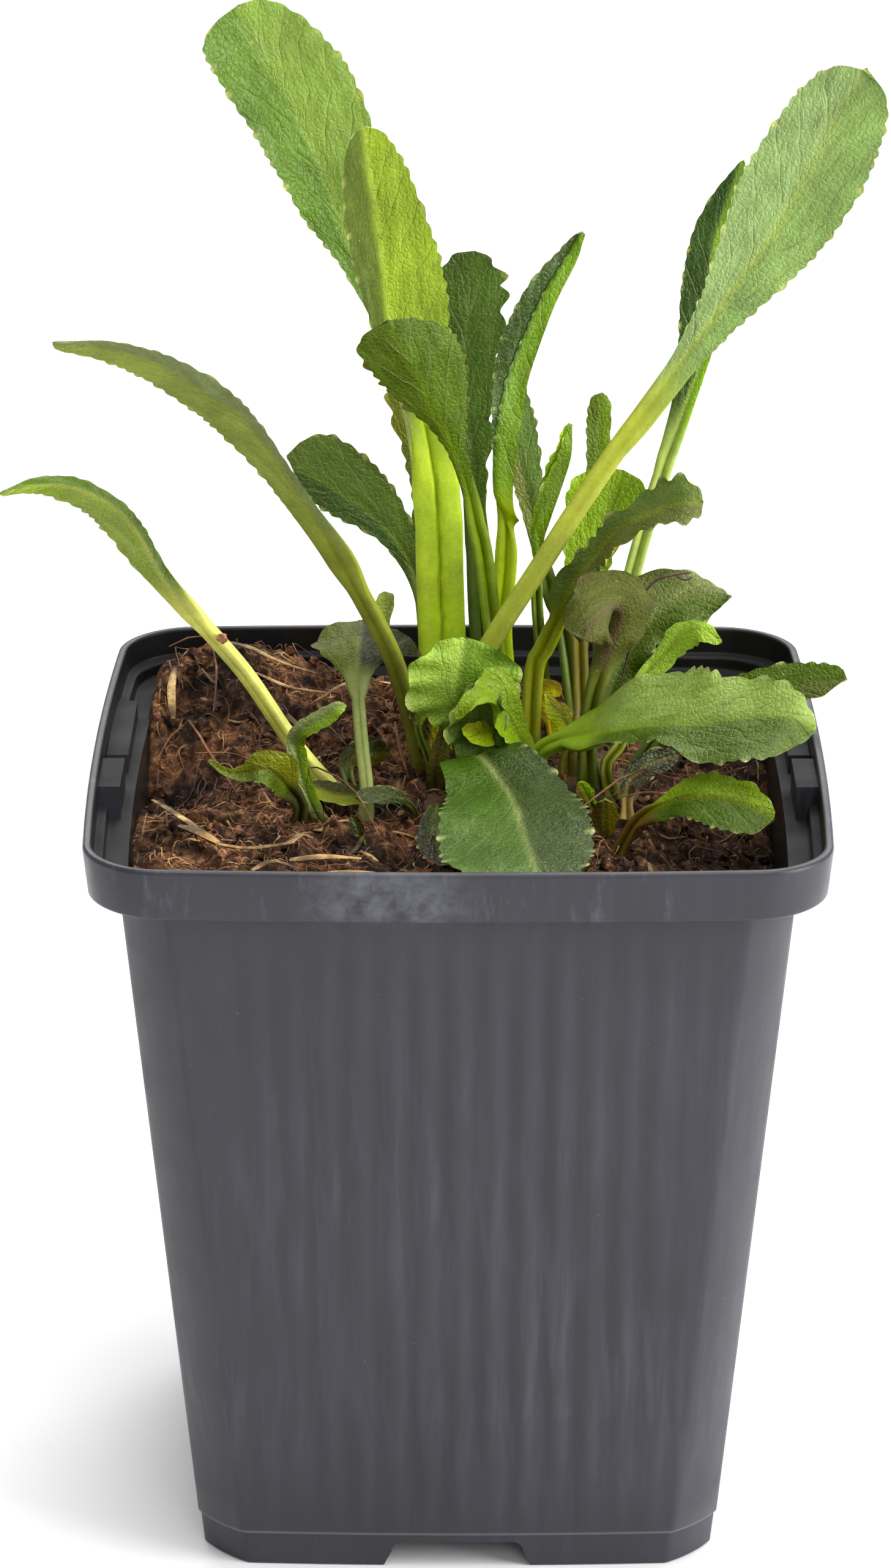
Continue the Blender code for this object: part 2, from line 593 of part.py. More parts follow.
def right_leaves():
    """The leaves that lean and lie to the right."""
    leaf(
        "leaf_dark_arching_right", root=(9, 13.5),
        spine=[(9, 14.5, 96), (9.5, 15.5, 99.5), (10.5, 16, 103), (11.5, 16, 106.5), (14, 15, 111.5),
               (16.5, 14, 115.5), (20, 12, 119.5), (23.5, 10, 122.5), (27.5, 8, 125), (30.5, 6, 126.5)],
        width=11, colour=DARK, start=0.4, rise=1.0, tip=0.4, fold=(20, 20), stalk=2.7,
        face=(-0.3, -0.4, 0.8),
    )
    leaf(
        "leaf_purple_curled", root=(16.5, 5.5),
        spine=[(16, 7, 94.5), (16.5, 7.5, 101.5), (17, 8, 107), (17.5, 8, 111.5), (18, 5.5, 116),
               (17, 2, 118), (15, -1, 117), (13.5, -2, 114)],
        width=9, colour=OLIVE, tip=0.5, fold=(-20, -20), stalk=2.6,
    )
    leaf(
        "leaf_dark_broad_right", root=(19, 21),
        spine=[(19.5, 22, 95.5), (22, 23, 101.5), (25.5, 24, 106), (29.5, 25, 108), (34.5, 26, 108)],
        width=12, colour=DARK, start=0.2, rise=0.9, tip=0.6, stalk=2.2,
    )
    leaf(
        "leaf_bright_narrow_right", root=(19.5, 3.5),
        spine=[(18.5, 6, 92), (20.5, 9, 94), (22, 12, 98), (23, 13, 101), (26, 13, 104.5),
               (28.5, 12, 107.5), (30.5, 11, 108.5), (33, 10, 107)],
        width=4, colour=BRIGHT, start=0.5, rise=0.8, tip=0.5, fold=(0, 0), stalk=1.7,
    )
    leaf(
        "leaf_broad_right", root=(9.5, 10),
        spine=[(10, 8, 93), (12.5, 6, 95.5), (16.5, 3, 97.5), (23, -2, 100.5), (29.5, -7, 102.5),
               (34.5, -9, 104), (40, -11, 105), (43.5, -12, 103.5)],
        width=13, colour=GREEN, start=0.3, rise=0.9, tip=0.4, stalk=2.8, face=(0, -0.6, 0.8),
    )
    leaf(
        "leaf_dark_far_right", root=(22, 14),
        spine=[(27.5, 15, 96), (32.5, 14, 98.5), (37, 12, 100.5), (42.5, 10, 101.5), (48.5, 8, 103)],
        width=8, colour=DARK, start=0.4, rise=1, tip=0.5, stalk=1.8, face=(0, -0.7, 0.7),
    )
    leaf(
        "leaf_bright_low_right", root=(19, -11),
        spine=[(22, -11, 91.5), (25.5, -12, 94), (29, -14, 95.5), (33.5, -17, 96), (38, -20, 95)],
        width=9, colour=BRIGHT, start=0.3, rise=0.9, tip=0.4, stalk=1.8, face=(0, -0.6, 0.8),
        in_soil=True,
    )
    leaf(
        "leaf_grey_twisted", root=(21, -3),
        spine=[(21, -1, 90.5), (21.5, 1, 92), (24, 3, 93.5), (27.5, 5, 94)],
        width=3.5, colour=GREEN, start=0.2, rise=0.7, tip=0.5, stalk=1.6,
    )


def small_leaves():
    """Seedling-sized leaves close to the medium."""
    leaf(
        "leaf_flat_on_soil", root=(-5.5, 0.5),
        spine=[(-8, -1.5, 91.5), (-12, -3, 91.5), (-15.5, -3.5, 92), (-19, -3, 93)],
        width=3.6, colour=OLIVE, start=0.3, rise=0.7, tip=0.5, stalk=1.6, face=UPWARDS,
    )
    leaf(
        "leaf_dark_on_soil", root=(-5, -6.5),
        spine=[(-5.5, -7.5, 91.5), (-8, -8.5, 93.5), (-12.5, -10, 94)],
        width=3.0, colour=DARK, start=0.35, rise=0.7, tip=0.5, stalk=1.0, face=UPWARDS,
    )
    leaf(
        "leaf_low_background", root=(-13, 5),
        spine=[(-14, 8, 91.5), (-11.5, 11, 92), (-8.5, 14, 91)],
        width=4, colour=GREEN, start=0.2, rise=0.9, tip=0.7, stalk=1.5, in_soil=True,
    )
    leaf(
        "sprout_tiny", root=(-11.5, -14),
        spine=[(-12.5, -14, 92), (-13, -14, 93)],
        width=1.8, colour=GREEN, start=0.2, rise=0.8, tip=0.6, stalk=1, in_soil=True,
    )
    leaf(
        "leaf_dark_tuft", root=(18.5, -8),
        spine=[(18, -9, 90.5), (18, -10, 93.5)],
        width=3.6, colour=DARK, start=0.2, rise=0.9, tip=0.4, fold=(10, 10), stalk=1.6, in_soil=True,
    )
    leaf(
        "leaf_curled_tuft", root=(17, 0),
        spine=[(16, -1.5, 91), (15, -2.5, 93)],
        width=2.2, colour=DARK, start=0.2, rise=0.8, tip=0.5, fold=(10, 10), stalk=1.3,
    )
    leaf(
        "leaf_yellow_tuft", root=(15.5, -8),
        spine=[(14.5, -9, 91.5), (14, -9, 93)],
        width=2.2, colour=BRIGHT, start=0.2, rise=0.8, tip=0.5, fold=(10, 10), stalk=1.3, in_soil=True,
    )
    leaf(
        "leaf_withered_orange", root=(13, 18.5),
        spine=[(11.5, 18.5, 94.5), (10.5, 18.5, 97), (12, 18.5, 98), (13, 18, 97)],
        width=2.8, colour=WITHERED, start=0.3, rise=0.8, tip=0.5, fold=(0, 0), stalk=1.6,
    )
    leaf(
        "leaf_pointed_small", root=(15, 15.5),
        spine=[(13.5, 15.5, 94.5), (12, 15.5, 96.5), (11, 15.5, 98.5)],
        width=4, colour=GREEN, start=0.1, rise=0.5, tip=0.9, fold=(10, 10),
    )


PLANT = "potted_shasta_daisy"


def build():
    clear_scene()
    home = collection(PLANT)
    tools = collection("cutters")
    make_pot(home, tools)
    make_soil(home, tools)
    make_crown(home, tools)
    back_leaves()
    centre_leaves()
    left_leaves()
    front_leaves()
    right_leaves()
    small_leaves()


build()
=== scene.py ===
# %% [markdown]
# # A young shasta daisy in its nursery pot
#
# The plant is dressed in this order: the camera and the light, the plastic pot, the growing medium,
# then leaf after leaf, and last the fibres and chips on the medium and the crown under the leaves.
# The solids that were packed before give every size and place; each main piece made here stands in
# the space of one of them. All lengths are written in millimetres and turned into Blender's metres
# in one place.

import json
import math

import bpy
import numpy as np
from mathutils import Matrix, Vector, noise

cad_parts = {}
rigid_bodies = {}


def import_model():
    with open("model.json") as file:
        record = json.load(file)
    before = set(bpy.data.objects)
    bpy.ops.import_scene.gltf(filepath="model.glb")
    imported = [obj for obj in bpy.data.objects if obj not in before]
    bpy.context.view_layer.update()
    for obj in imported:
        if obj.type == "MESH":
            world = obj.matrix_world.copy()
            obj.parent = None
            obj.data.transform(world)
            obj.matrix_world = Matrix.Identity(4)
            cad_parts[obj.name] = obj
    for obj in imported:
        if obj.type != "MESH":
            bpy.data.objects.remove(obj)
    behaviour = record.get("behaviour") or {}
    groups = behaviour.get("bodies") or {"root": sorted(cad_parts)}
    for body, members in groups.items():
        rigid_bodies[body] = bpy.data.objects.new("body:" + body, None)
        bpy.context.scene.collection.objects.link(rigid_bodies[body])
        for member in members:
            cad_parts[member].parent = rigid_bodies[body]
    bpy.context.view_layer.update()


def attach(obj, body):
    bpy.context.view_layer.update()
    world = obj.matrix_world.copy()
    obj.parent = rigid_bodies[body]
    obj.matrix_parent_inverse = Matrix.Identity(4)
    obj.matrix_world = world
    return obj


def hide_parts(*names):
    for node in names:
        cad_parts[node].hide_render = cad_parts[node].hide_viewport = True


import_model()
MM = 0.001


# %% [markdown]
# ## Small helpers
#
# Most pieces start as the same thing, Blender's grid primitive, because a pot wall, a heap of peat
# and a leaf are all sheets. A grid keeps its columns and rows in order, so each point can be sent
# to its place by a rule for that piece. An operator works on everything that is selected, and the
# packed solids are selected after loading, so each helper first deselects all.

# %% Helpers for making pieces
MERGE_GAP = 0.004  # points closer than this become one


def deselect_all():
    if bpy.context.object and bpy.context.object.mode != "OBJECT":
        bpy.ops.object.mode_set(mode="OBJECT")
    bpy.ops.object.select_all(action="DESELECT")


def activate(piece):
    deselect_all()
    piece.select_set(True)
    bpy.context.view_layer.objects.active = piece


def edit_all(piece):
    """Opens a piece in edit mode with everything selected."""
    activate(piece)
    bpy.ops.object.mode_set(mode="EDIT")
    bpy.ops.mesh.select_all(action="SELECT")


def sheet(name, columns, rows):
    """A flat grid of columns by rows points, ready to be placed."""
    deselect_all()
    bpy.ops.mesh.primitive_grid_add(x_subdivisions=columns - 1, y_subdivisions=rows - 1, size=1)
    piece = bpy.context.object
    piece.name = name
    piece.data.name = name
    return piece


def place_points(piece, points):
    """Moves all the points of a piece; points is rows * columns long, in millimetres."""
    piece.data.vertices.foreach_set("co", np.asarray(points, dtype=np.float32).ravel() * MM)
    piece.data.update()


def close_and_merge(piece):
    """Joins the two edges that meet when a sheet is rolled up, and fills what is still open."""
    edit_all(piece)
    bpy.ops.mesh.remove_doubles(threshold=MERGE_GAP * MM)
    bpy.ops.mesh.fill_holes(sides=0)
    bpy.ops.mesh.select_all(action="SELECT")
    bpy.ops.mesh.normals_make_consistent(inside=False)
    bpy.ops.object.mode_set(mode="OBJECT")


def smooth(piece, angle):
    activate(piece)
    bpy.ops.object.shade_smooth_by_angle(angle=math.radians(angle))


def finish_piece(piece, material, node=None):
    """Gives a piece its material and its place under the root body, and hides the solid that it
    stands for.
    """
    piece.data.materials.clear()
    piece.data.materials.append(material)
    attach(piece, "root")
    if node:
        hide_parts(node)
    print(piece.name, "triangles:", sum(len(face.vertices) - 2 for face in piece.data.polygons))


def rgb(red, green, blue):
    """A colour as a printed swatch names it, 0 to 255, as the linear values that shaders use."""
    return tuple(
        v / 12.92 if v <= 0.04045 else ((v + 0.055) / 1.055) ** 2.4
        for v in (red / 255, green / 255, blue / 255)
    )


print("points merge within", MERGE_GAP, "mm")

# %% [markdown]
# ## Helpers for materials
#
# A material is a small graph of nodes. These helpers only save typing: they add a node, set its
# inputs, and join it to the next. Every pattern reads Object coordinates, which here are the real
# place on the plant in metres, so a pattern of a given size stays that size on every piece.

# %% Helpers for materials


class Graph:
    """A material under construction."""

    def __init__(self, name):
        self.material = bpy.data.materials.new(name)
        self.material.use_nodes = True
        self.tree = self.material.node_tree
        self.shader = self.tree.nodes["Principled BSDF"]
        self.place = self.tree.nodes.new("ShaderNodeTexCoord").outputs["Object"]

    def put(self, value, socket):
        """Sets a socket to a number or a colour, or joins the output of another node to it."""
        if isinstance(value, bpy.types.NodeSocket):
            self.tree.links.new(value, socket)
        elif isinstance(value, tuple) and len(value) == 3 and socket.type == "RGBA":
            socket.default_value = (*value, 1)
        else:
            socket.default_value = value

    def surface(self, values):
        """Sets the sockets of the shader itself."""
        for name, value in values.items():
            self.put(value, self.shader.inputs[name])

    def node(self, kind, inputs=None, **settings):
        made = self.tree.nodes.new(kind)
        for name, value in settings.items():
            setattr(made, name, value)
        for name, value in (inputs or {}).items():
            self.put(value, made.inputs[name])
        return made

    def parts(self, vector):
        """The X, Y and Z of a vector."""
        return self.node("ShaderNodeSeparateXYZ", {"Vector": vector}).outputs

    def vector_math(self, operation, first, second):
        return self.node("ShaderNodeVectorMath", {0: first, 1: second}, operation=operation)

    def stretched(self, upwards):
        """The place with its height shortened, so that patterns are drawn out downwards."""
        mapping = {"Vector": self.place, "Scale": (1.0, 1.0, upwards)}
        return self.node("ShaderNodeMapping", mapping).outputs[0]

    def noise(self, size, detail=4.0, roughness=0.55, place=None):
        """Cloudy noise whose features are about size millimetres across."""
        inputs = {"Vector": place or self.place, "Scale": 1 / (size * MM)}
        inputs.update({"Detail": detail, "Roughness": roughness})
        return self.node("ShaderNodeTexNoise", inputs).outputs["Fac"]

    def cells(self, size, feature="F1"):
        """The distance within cells that are about size millimetres across."""
        inputs = {"Vector": self.place, "Scale": 1 / (size * MM)}
        return self.node("ShaderNodeTexVoronoi", inputs, feature=feature).outputs["Distance"]

    def ramp(self, value, *stops):
        """Colours or greys at chosen values."""
        made = self.node("ShaderNodeValToRGB", {"Fac": value})
        elements = made.color_ramp.elements
        while len(elements) < len(stops):
            elements.new(0.5)
        for element, (position, colour) in zip(elements, stops):
            element.position = position
            element.color = (*(colour if isinstance(colour, tuple) else (colour,) * 3), 1)
        return made.outputs["Color"]

    def math(self, operation, first, second=0.0):
        made = self.node("ShaderNodeMath", operation=operation)
        self.put(first, made.inputs[0])
        self.put(second, made.inputs[1])
        return made.outputs[0]

    def times(self, first, *others):
        """The product of numbers and outputs of nodes."""
        for other in others:
            first = self.math("MULTIPLY", first, other)
        return first

    def mix(self, share, first, second, blend="MIX"):
        """Mixes two colours; each may be a colour or the output of a node."""
        made = self.node("ShaderNodeMix", data_type="RGBA", blend_type=blend)
        for index, value in ((0, share), (6, first), (7, second)):
            self.put(value, made.inputs[index])
        return made.outputs[2]

    def shade(self, colour, factor):
        """A colour multiplied by another."""
        return self.mix(1.0, colour, factor, "MULTIPLY")

    def bump(self, height, depth, strength, under=None):
        """Relief of depth millimetres from a grey height, over another relief."""
        inputs = {"Height": height, "Strength": strength, "Distance": depth * MM}
        if under:
            inputs["Normal"] = under
        return self.node("ShaderNodeBump", inputs).outputs["Normal"]


print("a material has", len([name for name in vars(Graph) if name[0] != "_"]), "helpers")

# %% [markdown]
# ## Camera
#
# The plant is seen from a little above, with a long lens from about two thirds of a metre away, so
# the pot's sides hardly run together. The camera looks straight ahead, without any shift.

# %% Camera
CAMERA_PLACE = (-0.25, -594.1, 315.3)
LOOK_DOWN = 0.3597  # how far the camera looks down, in radians
TURN = 0.0022
LENS = 117.36
SENSOR_WIDTH = 36.0

view = bpy.data.cameras.new("camera")
view.lens = LENS
view.sensor_width = SENSOR_WIDTH
camera = bpy.data.objects.new("camera", view)
bpy.context.scene.collection.objects.link(camera)
camera.location = Vector(CAMERA_PLACE) * MM
camera.rotation_euler = (math.pi / 2 - LOOK_DOWN, 0.0, TURN)
bpy.context.scene.camera = camera
bpy.context.scene.view_settings.view_transform = "Standard"  # the finishes keep their own colours
print("camera lens", view.lens, "mm")

# %% [markdown]
# ## Floor and light
#
# The plant stands on a plain pale floor under soft studio light. A large soft lamp hangs above, a
# strong one stands to the right and draws the bright sides of leaves and pot, one behind shines
# through the leaves and onto the floor, and a weak one in front opens the shadows. The surround is
# dim, so the left sides stay darker and the forms show.

# %% Floor and light
FLOOR_SIZE = 6.0
FLOOR_COLOUR = (0.9, 0.9, 0.9)
SURROUND_STRENGTH = 0.4
LAMPS_AIM = (0, 0, 0.12)
# name, place in metres, width, height, watts
LAMPS = [
    ("lamp_above", (0.12, -0.05, 1.3), 0.9, 0.9, 13.0),
    ("lamp_right", (0.95, -0.35, 0.4), 0.6, 0.9, 15.0),
    ("lamp_back", (0.15, 1.1, 1.0), 1.6, 0.8, 18.0),
    ("lamp_front", (0.25, -1.1, 0.7), 0.5, 0.5, 2.5),
]

deselect_all()
bpy.ops.mesh.primitive_plane_add(size=FLOOR_SIZE)
floor = bpy.context.object
floor.name = "floor"
floor_paint = Graph("floor_paint")
floor_paint.surface({"Base Color": FLOOR_COLOUR, "Roughness": 0.9, "Specular IOR Level": 0.1})
floor.data.materials.append(floor_paint.material)

surround = bpy.data.worlds.new("surround")
surround.use_nodes = True
surround.node_tree.nodes["Background"].inputs["Color"].default_value = (1, 1, 1, 1)
surround.node_tree.nodes["Background"].inputs["Strength"].default_value = SURROUND_STRENGTH
bpy.context.scene.world = surround

for lamp_name, lamp_place, width, height, watts in LAMPS:
    light = bpy.data.lights.new(lamp_name, "AREA")
    light.shape = "RECTANGLE"
    light.size = width
    light.size_y = height
    light.energy = watts
    lamp = bpy.data.objects.new(lamp_name, light)
    lamp.location = lamp_place
    aim = Vector(LAMPS_AIM) - Vector(lamp_place)
    lamp.rotation_euler = aim.to_track_quat("-Z", "Y").to_euler()
    bpy.context.scene.collection.objects.link(lamp)
print("lamps:", [lamp[0] for lamp in LAMPS])

# %% [markdown]
# ## The pot's plastic
#
# The pot is moulded from recycled slate-grey plastic. Its skin is satin with a fine orange-peel
# grain. Paler streaks run down the body where it left the mould, the band of the rim is rubbed and
# scuffed, and dry dust of the medium clings to it in specks. Streaks, marks and dust are laid over
# the base colour with masks made of noise and of the height above the floor. The inner walls and
# ledges are painted near-black, as painted shade inside the pot.

# %% Plastic: body and streaks
plastic = Graph("slate_plastic")
height_up = plastic.parts(plastic.place)["Z"]
level = plastic.math("DIVIDE", height_up, 100 * MM)

skin = plastic.mix(plastic.noise(24, detail=3), rgb(41, 41, 47), rgb(55, 55, 62))
streaks = plastic.noise(1.5, detail=3, roughness=0.6, place=plastic.stretched(0.012))
streaks = plastic.ramp(streaks, (0.46, 0.0), (0.66, 1.0))
on_body = plastic.ramp(level, (0.05, 0.35), (0.21, 0.6), (0.225, 1.0), (0.7, 0.5), (0.9, 0.25))
patches = plastic.ramp(plastic.noise(30, detail=2), (0.4, 0.35), (0.64, 1.0))
skin = plastic.mix(plastic.times(streaks, on_body, patches, 0.2), skin, rgb(98, 101, 110))
print("nodes for the body:", len(plastic.tree.nodes))

# %% Plastic: seam, rubbed band and scuffed lip
SEAM_HEIGHT = 4.75
SCUFF_PLACE = (-8 * MM, -45 * MM, 93 * MM)
SCUFF_REACH = 12

seam = plastic.math("ABSOLUTE", plastic.math("SUBTRACT", height_up, SEAM_HEIGHT * MM))
seam = plastic.ramp(plastic.math("DIVIDE", seam, 1 * MM), (0.12, 0.5), (0.34, 0.0))
skin = plastic.mix(seam, skin, rgb(112, 114, 120))
on_band = plastic.ramp(level, (0.89, 0.12), (0.925, 1.0), (0.965, 1.0), (0.985, 0.5))
scuff = plastic.vector_math("DISTANCE", plastic.place, SCUFF_PLACE).outputs["Value"]
scuff = plastic.ramp(plastic.math("DIVIDE", scuff, SCUFF_REACH * MM), (0.35, 1.0), (1.0, 0.0))
scuff_noise = plastic.ramp(plastic.noise(2.4, detail=6, roughness=0.7), (0.36, 0.0), (0.62, 1.0))
skin = plastic.mix(plastic.times(scuff, scuff_noise, on_band, 0.3), skin, rgb(132, 134, 142))
rubbed = plastic.noise(3.2, detail=7, roughness=0.7, place=plastic.stretched(0.22))
rubbed = plastic.ramp(rubbed, (0.56, 0.0), (0.74, 1.0))
skin = plastic.mix(plastic.times(rubbed, on_band, 0.34), skin, rgb(118, 120, 128))
print("nodes with the marks:", len(plastic.tree.nodes))

# %% Plastic: dust, painted shade inside and gloss
LIP_BELOW = 97.0

specks = plastic.ramp(plastic.cells(1.6), (0.05, 1.0), (0.11, 0.0))
dusty = plastic.ramp(plastic.noise(9), (0.56, 0.0), (0.7, 1.0))
skin = plastic.mix(plastic.times(specks, dusty, 0.34), skin, rgb(132, 118, 104))
# on the inner walls the surface looks back at the pot's own axis; ledges look up below the lip
facing = plastic.node("ShaderNodeNewGeometry").outputs["True Normal"]
from_axis = plastic.vector_math("MULTIPLY", plastic.place, (1, 1, 0)).outputs[0]
outwards = plastic.vector_math("DOT_PRODUCT", from_axis, facing).outputs["Value"]
outwards = plastic.math("ADD", plastic.math("DIVIDE", outwards, 80 * MM), 0.5)
walls = plastic.ramp(outwards, (0.25, 1.0), (0.42, 0.0))
ledges = plastic.times(
    plastic.ramp(plastic.parts(facing)["Z"], (0.5, 0.0), (0.8, 1.0)),
    plastic.math("LESS_THAN", height_up, LIP_BELOW * MM),
)
# painted shade inside the pot: the inner walls and the ledges below the lip are mixed towards
# near-black
inside = plastic.times(plastic.math("MAXIMUM", walls, ledges), 0.9)
gloss = plastic.ramp(plastic.noise(6, detail=5), (0.3, 0.3), (0.7, 0.46))
grain = plastic.bump(plastic.noise(0.5, detail=3), 0.012, 0.6)
plastic.surface({
    "Base Color": plastic.mix(inside, skin, rgb(10, 10, 11)),
    "Roughness": plastic.math("ADD", gloss, plastic.times(ledges, 0.4)),
    "Specular IOR Level": 0.34,
    "Normal": plastic.bump(plastic.noise(5, detail=3), 0.06, 0.5, grain),
})
print("nodes in the plastic:", len(plastic.tree.nodes))

# %% [markdown]
# ## The pot
#
# A square pot could be carved from a cube, but its corners change from round at the rim to cut at
# the body, and its sides bulge a little. So it is lofted: a grid is rolled up, and each of its rows
# becomes one section of the wall, from the inside floor up over the lip and down the outside. The
# drainage channels and holes are then cut out of it with boxes and cylinders.

# %% Measures of the pot
POT_HEIGHT = 97.6
RIM_HALF = 45.0
RIM_HEIGHT = 6.4
RIM_CORNER = 9.0
CORNER_CUT = 5.6
BODY_TOP_HALF = 40.8
BODY_FOOT_HALF = 33.1
FOOT_HALF = 32.4
FOOT_HEIGHT = 4.6
FOOT_INSET = 0.3
WALL = 0.9
SIDE_BOW = 1.3
LEDGE = 5.4  # from the lip down to the ledge inside
STEP = 3.6  # from the lip down to the first step inside
STEP_DEPTH = 1.2
CHANNEL_WIDTH = 16.4
CHANNEL_HEIGHT = 3.5
FLOOR_TOP = 5.0
SIDE_POINTS = 96
CORNER_POINTS = 12
EDGE_STEPS = 5
FLUTE_WIDTH = 4.1
FLUTE_DEPTH = 0.2
print("the pot is", 2 * RIM_HALF, "mm wide and", POT_HEIGHT, "mm high")

# %% Outline of a section


def bowed(x, y, half):
    """Pulls the corners of a square outline in, so that its sides bulge."""
    bow = SIDE_BOW / RIM_HALF
    return x * (1 - bow * (y / half) ** 2), y * (1 - bow * (x / half) ** 2)


def pot_outline(half, corner, roundness, fluted):
    """Points round one section; roundness 0 gives a cut corner and 1 a round one."""
    flat = half - corner
    points = []
    for quarter in range(4):
        turn = quarter * math.pi / 2
        for step in range(SIDE_POINTS + CORNER_POINTS):
            if step < SIDE_POINTS:
                along = flat * (2 * step / SIDE_POINTS - 1)
                fade = 1 - (along / flat) ** 6
                wave = math.cos(2 * math.pi * along / FLUTE_WIDTH)
                x, y = half + fluted * FLUTE_DEPTH * wave * fade, along
            else:
                share = (step - SIDE_POINTS) / CORNER_POINTS
                angle = share * math.pi / 2
                round_x, round_y = flat + corner * math.cos(angle), flat + corner * math.sin(angle)
                x = roundness * round_x + (1 - roundness) * (half - corner * share)
                y = roundness * round_y + (1 - roundness) * (flat + corner * share)
            turned_x = x * math.cos(turn) - y * math.sin(turn)
            turned_y = x * math.sin(turn) + y * math.cos(turn)
            points.append(bowed(turned_x, turned_y, half))
    return points


def rounded_edges(corner, roundness, edges):
    """Sections over rounded edges; each edge is its sharp corner, and where it starts and ends."""
    made = []
    for half, height, (start_out, start_up), (end_out, end_up) in edges:
        for step in range(EDGE_STEPS + 1):
            t = step / EDGE_STEPS
            before, at, after = (1 - t) ** 2, 2 * t * (1 - t), t * t
            out = before * (half + start_out) + at * half + after * (half + end_out)
            up = before * (height + start_up) + at * height + after * (height + end_up)
            made.append((out, corner, roundness, up, 0))
    return made


print("points round a section:", len(pot_outline(RIM_HALF, RIM_CORNER, 1, 0)))

# %% The pot's wall
BODY_ROUNDNESS = 0.35  # the cut corners of the body are slightly rounded
inner_cut = CORNER_CUT - WALL / 2
lip_inner = RIM_HALF - WALL - 0.2
step_inner = lip_inner - STEP_DEPTH
rim_bottom = POT_HEIGHT - RIM_HEIGHT
ledge_height = POT_HEIGHT - LEDGE
step_height = POT_HEIGHT - STEP
body_top, body_foot = rim_bottom - 0.6, FOOT_HEIGHT + 0.35
# half width, corner, roundness of the corner, height, depth of the flutes
sections = [
    (FOOT_HALF - WALL, inner_cut, 0, 1.0, 0), (BODY_FOOT_HALF - WALL, inner_cut, 0, FLOOR_TOP, 0)
]
for share in (0.2, 0.4, 0.6, 0.8, 0.9, 0.97, 1.0):
    half = BODY_FOOT_HALF + (BODY_TOP_HALF - BODY_FOOT_HALF) * share - WALL
    sections.append((half, inner_cut, 0, FLOOR_TOP + (ledge_height - FLOOR_TOP) * share, 0))
sections += rounded_edges(RIM_CORNER - WALL, 1, [
    (step_inner, ledge_height, (-0.5, 0), (0, 0.5)),
    (step_inner, step_height, (0, -0.45), (0.45, 0)),
    (lip_inner, step_height, (-0.4, 0), (0, 0.4)), (lip_inner, POT_HEIGHT, (0, -0.45), (0.45, 0)),
])
sections += rounded_edges(RIM_CORNER, 1, [
    (RIM_HALF, POT_HEIGHT, (-0.5, 0), (0, -0.6)), (RIM_HALF - 0.5, rim_bottom, (0, 0.6), (-0.6, 0))
])
sections += rounded_edges(
    CORNER_CUT, BODY_ROUNDNESS, [(BODY_TOP_HALF, rim_bottom, (0.6, 0), (0, -0.6))]
)
for share in (0.04, 0.1, 0.25, 0.4, 0.55, 0.7, 0.85, 0.95, 1.0):
    half = BODY_TOP_HALF + (BODY_FOOT_HALF - BODY_TOP_HALF) * share
    height = body_top + (body_foot - body_top) * share
    fluted = min(1.0, share * 8, (1 - share) * 12)
    sections.append((half, CORNER_CUT, BODY_ROUNDNESS, height, fluted))
sections += rounded_edges(
    CORNER_CUT, BODY_ROUNDNESS, [(BODY_FOOT_HALF, FOOT_HEIGHT, (-0.05, 0.25), (-FOOT_INSET, 0))]
)
sections.append((FOOT_HALF, CORNER_CUT, BODY_ROUNDNESS, 0.5, 0))
sections += rounded_edges(CORNER_CUT, BODY_ROUNDNESS, [(FOOT_HALF, 0.0, (0, 0.4), (-0.4, 0))])

pot = sheet("pot_shell", 4 * (SIDE_POINTS + CORNER_POINTS) + 1, len(sections))
wall_points = []
for half, corner, roundness, height, fluted in sections:
    outline = pot_outline(half, corner, roundness, fluted)
    wall_points.extend((x, y, height) for x, y in outline + outline[:1])
place_points(pot, wall_points)
close_and_merge(pot)
print("sections:", len(sections), "points:", len(pot.data.vertices))

# %% Tools that join and cut


def box_tool(name, low, high, rounded=0.0, lengthwise=0, flare=0.0):
    """A box from its low to its high corner; its long top edges can be rounded, its foot flared."""
    deselect_all()
    middle = [(a + b) / 2 * MM for a, b in zip(low, high)]
    bpy.ops.mesh.primitive_cube_add(size=1, location=middle)
    tool = bpy.context.object
    tool.name = name
    tool.scale = [(b - a) * MM for a, b in zip(low, high)]
    bpy.ops.object.transform_apply(location=True, rotation=False, scale=True)
    if rounded:
        bpy.ops.object.mode_set(mode="EDIT")
        bpy.ops.mesh.select_mode(type="EDGE")
        bpy.ops.mesh.select_all(action="DESELECT")
        bpy.ops.object.mode_set(mode="OBJECT")
        for edge in tool.data.edges:
            first, second = (tool.data.vertices[i].co for i in edge.vertices)
            long_way = abs(first[lengthwise] - second[lengthwise]) > 20 * MM
            edge.select = long_way and min(first.z, second.z) > middle[2]
        bpy.ops.object.mode_set(mode="EDIT")
        bpy.ops.mesh.bevel(offset=rounded * MM, segments=5, affect="EDGES")
        bpy.ops.object.mode_set(mode="OBJECT")
    for vertex in tool.data.vertices:
        if vertex.co.z < 0:
            vertex.co[1 - lengthwise] *= 1 + flare
    return tool


def apply_tool(piece, tool, operation):
    """Joins or cuts a piece with a tool, and takes the tool away."""
    activate(piece)
    step = piece.modifiers.new("tool", "BOOLEAN")
    step.operation = operation
    step.solver = "EXACT"
    step.object = tool
    bpy.ops.object.modifier_apply(modifier=step.name)
    bpy.data.objects.remove(tool, do_unlink=True)


print("before the cuts the pot has", len(pot.data.polygons), "faces")

# %% Drainage channels, holes and stacking lugs
HOLE_RADIUS = 3.5
HOLES = ((0, 0), (21, 0), (-21, 0), (0, 21), (0, -21))
LUGS = ((3.0, 23.0, 94.6), (-13.0, -3.0, 96.4))  # from, to and top of each lug on a side
CHANNEL_ROUND, CHANNEL_FLARE = 1.4, 0.3

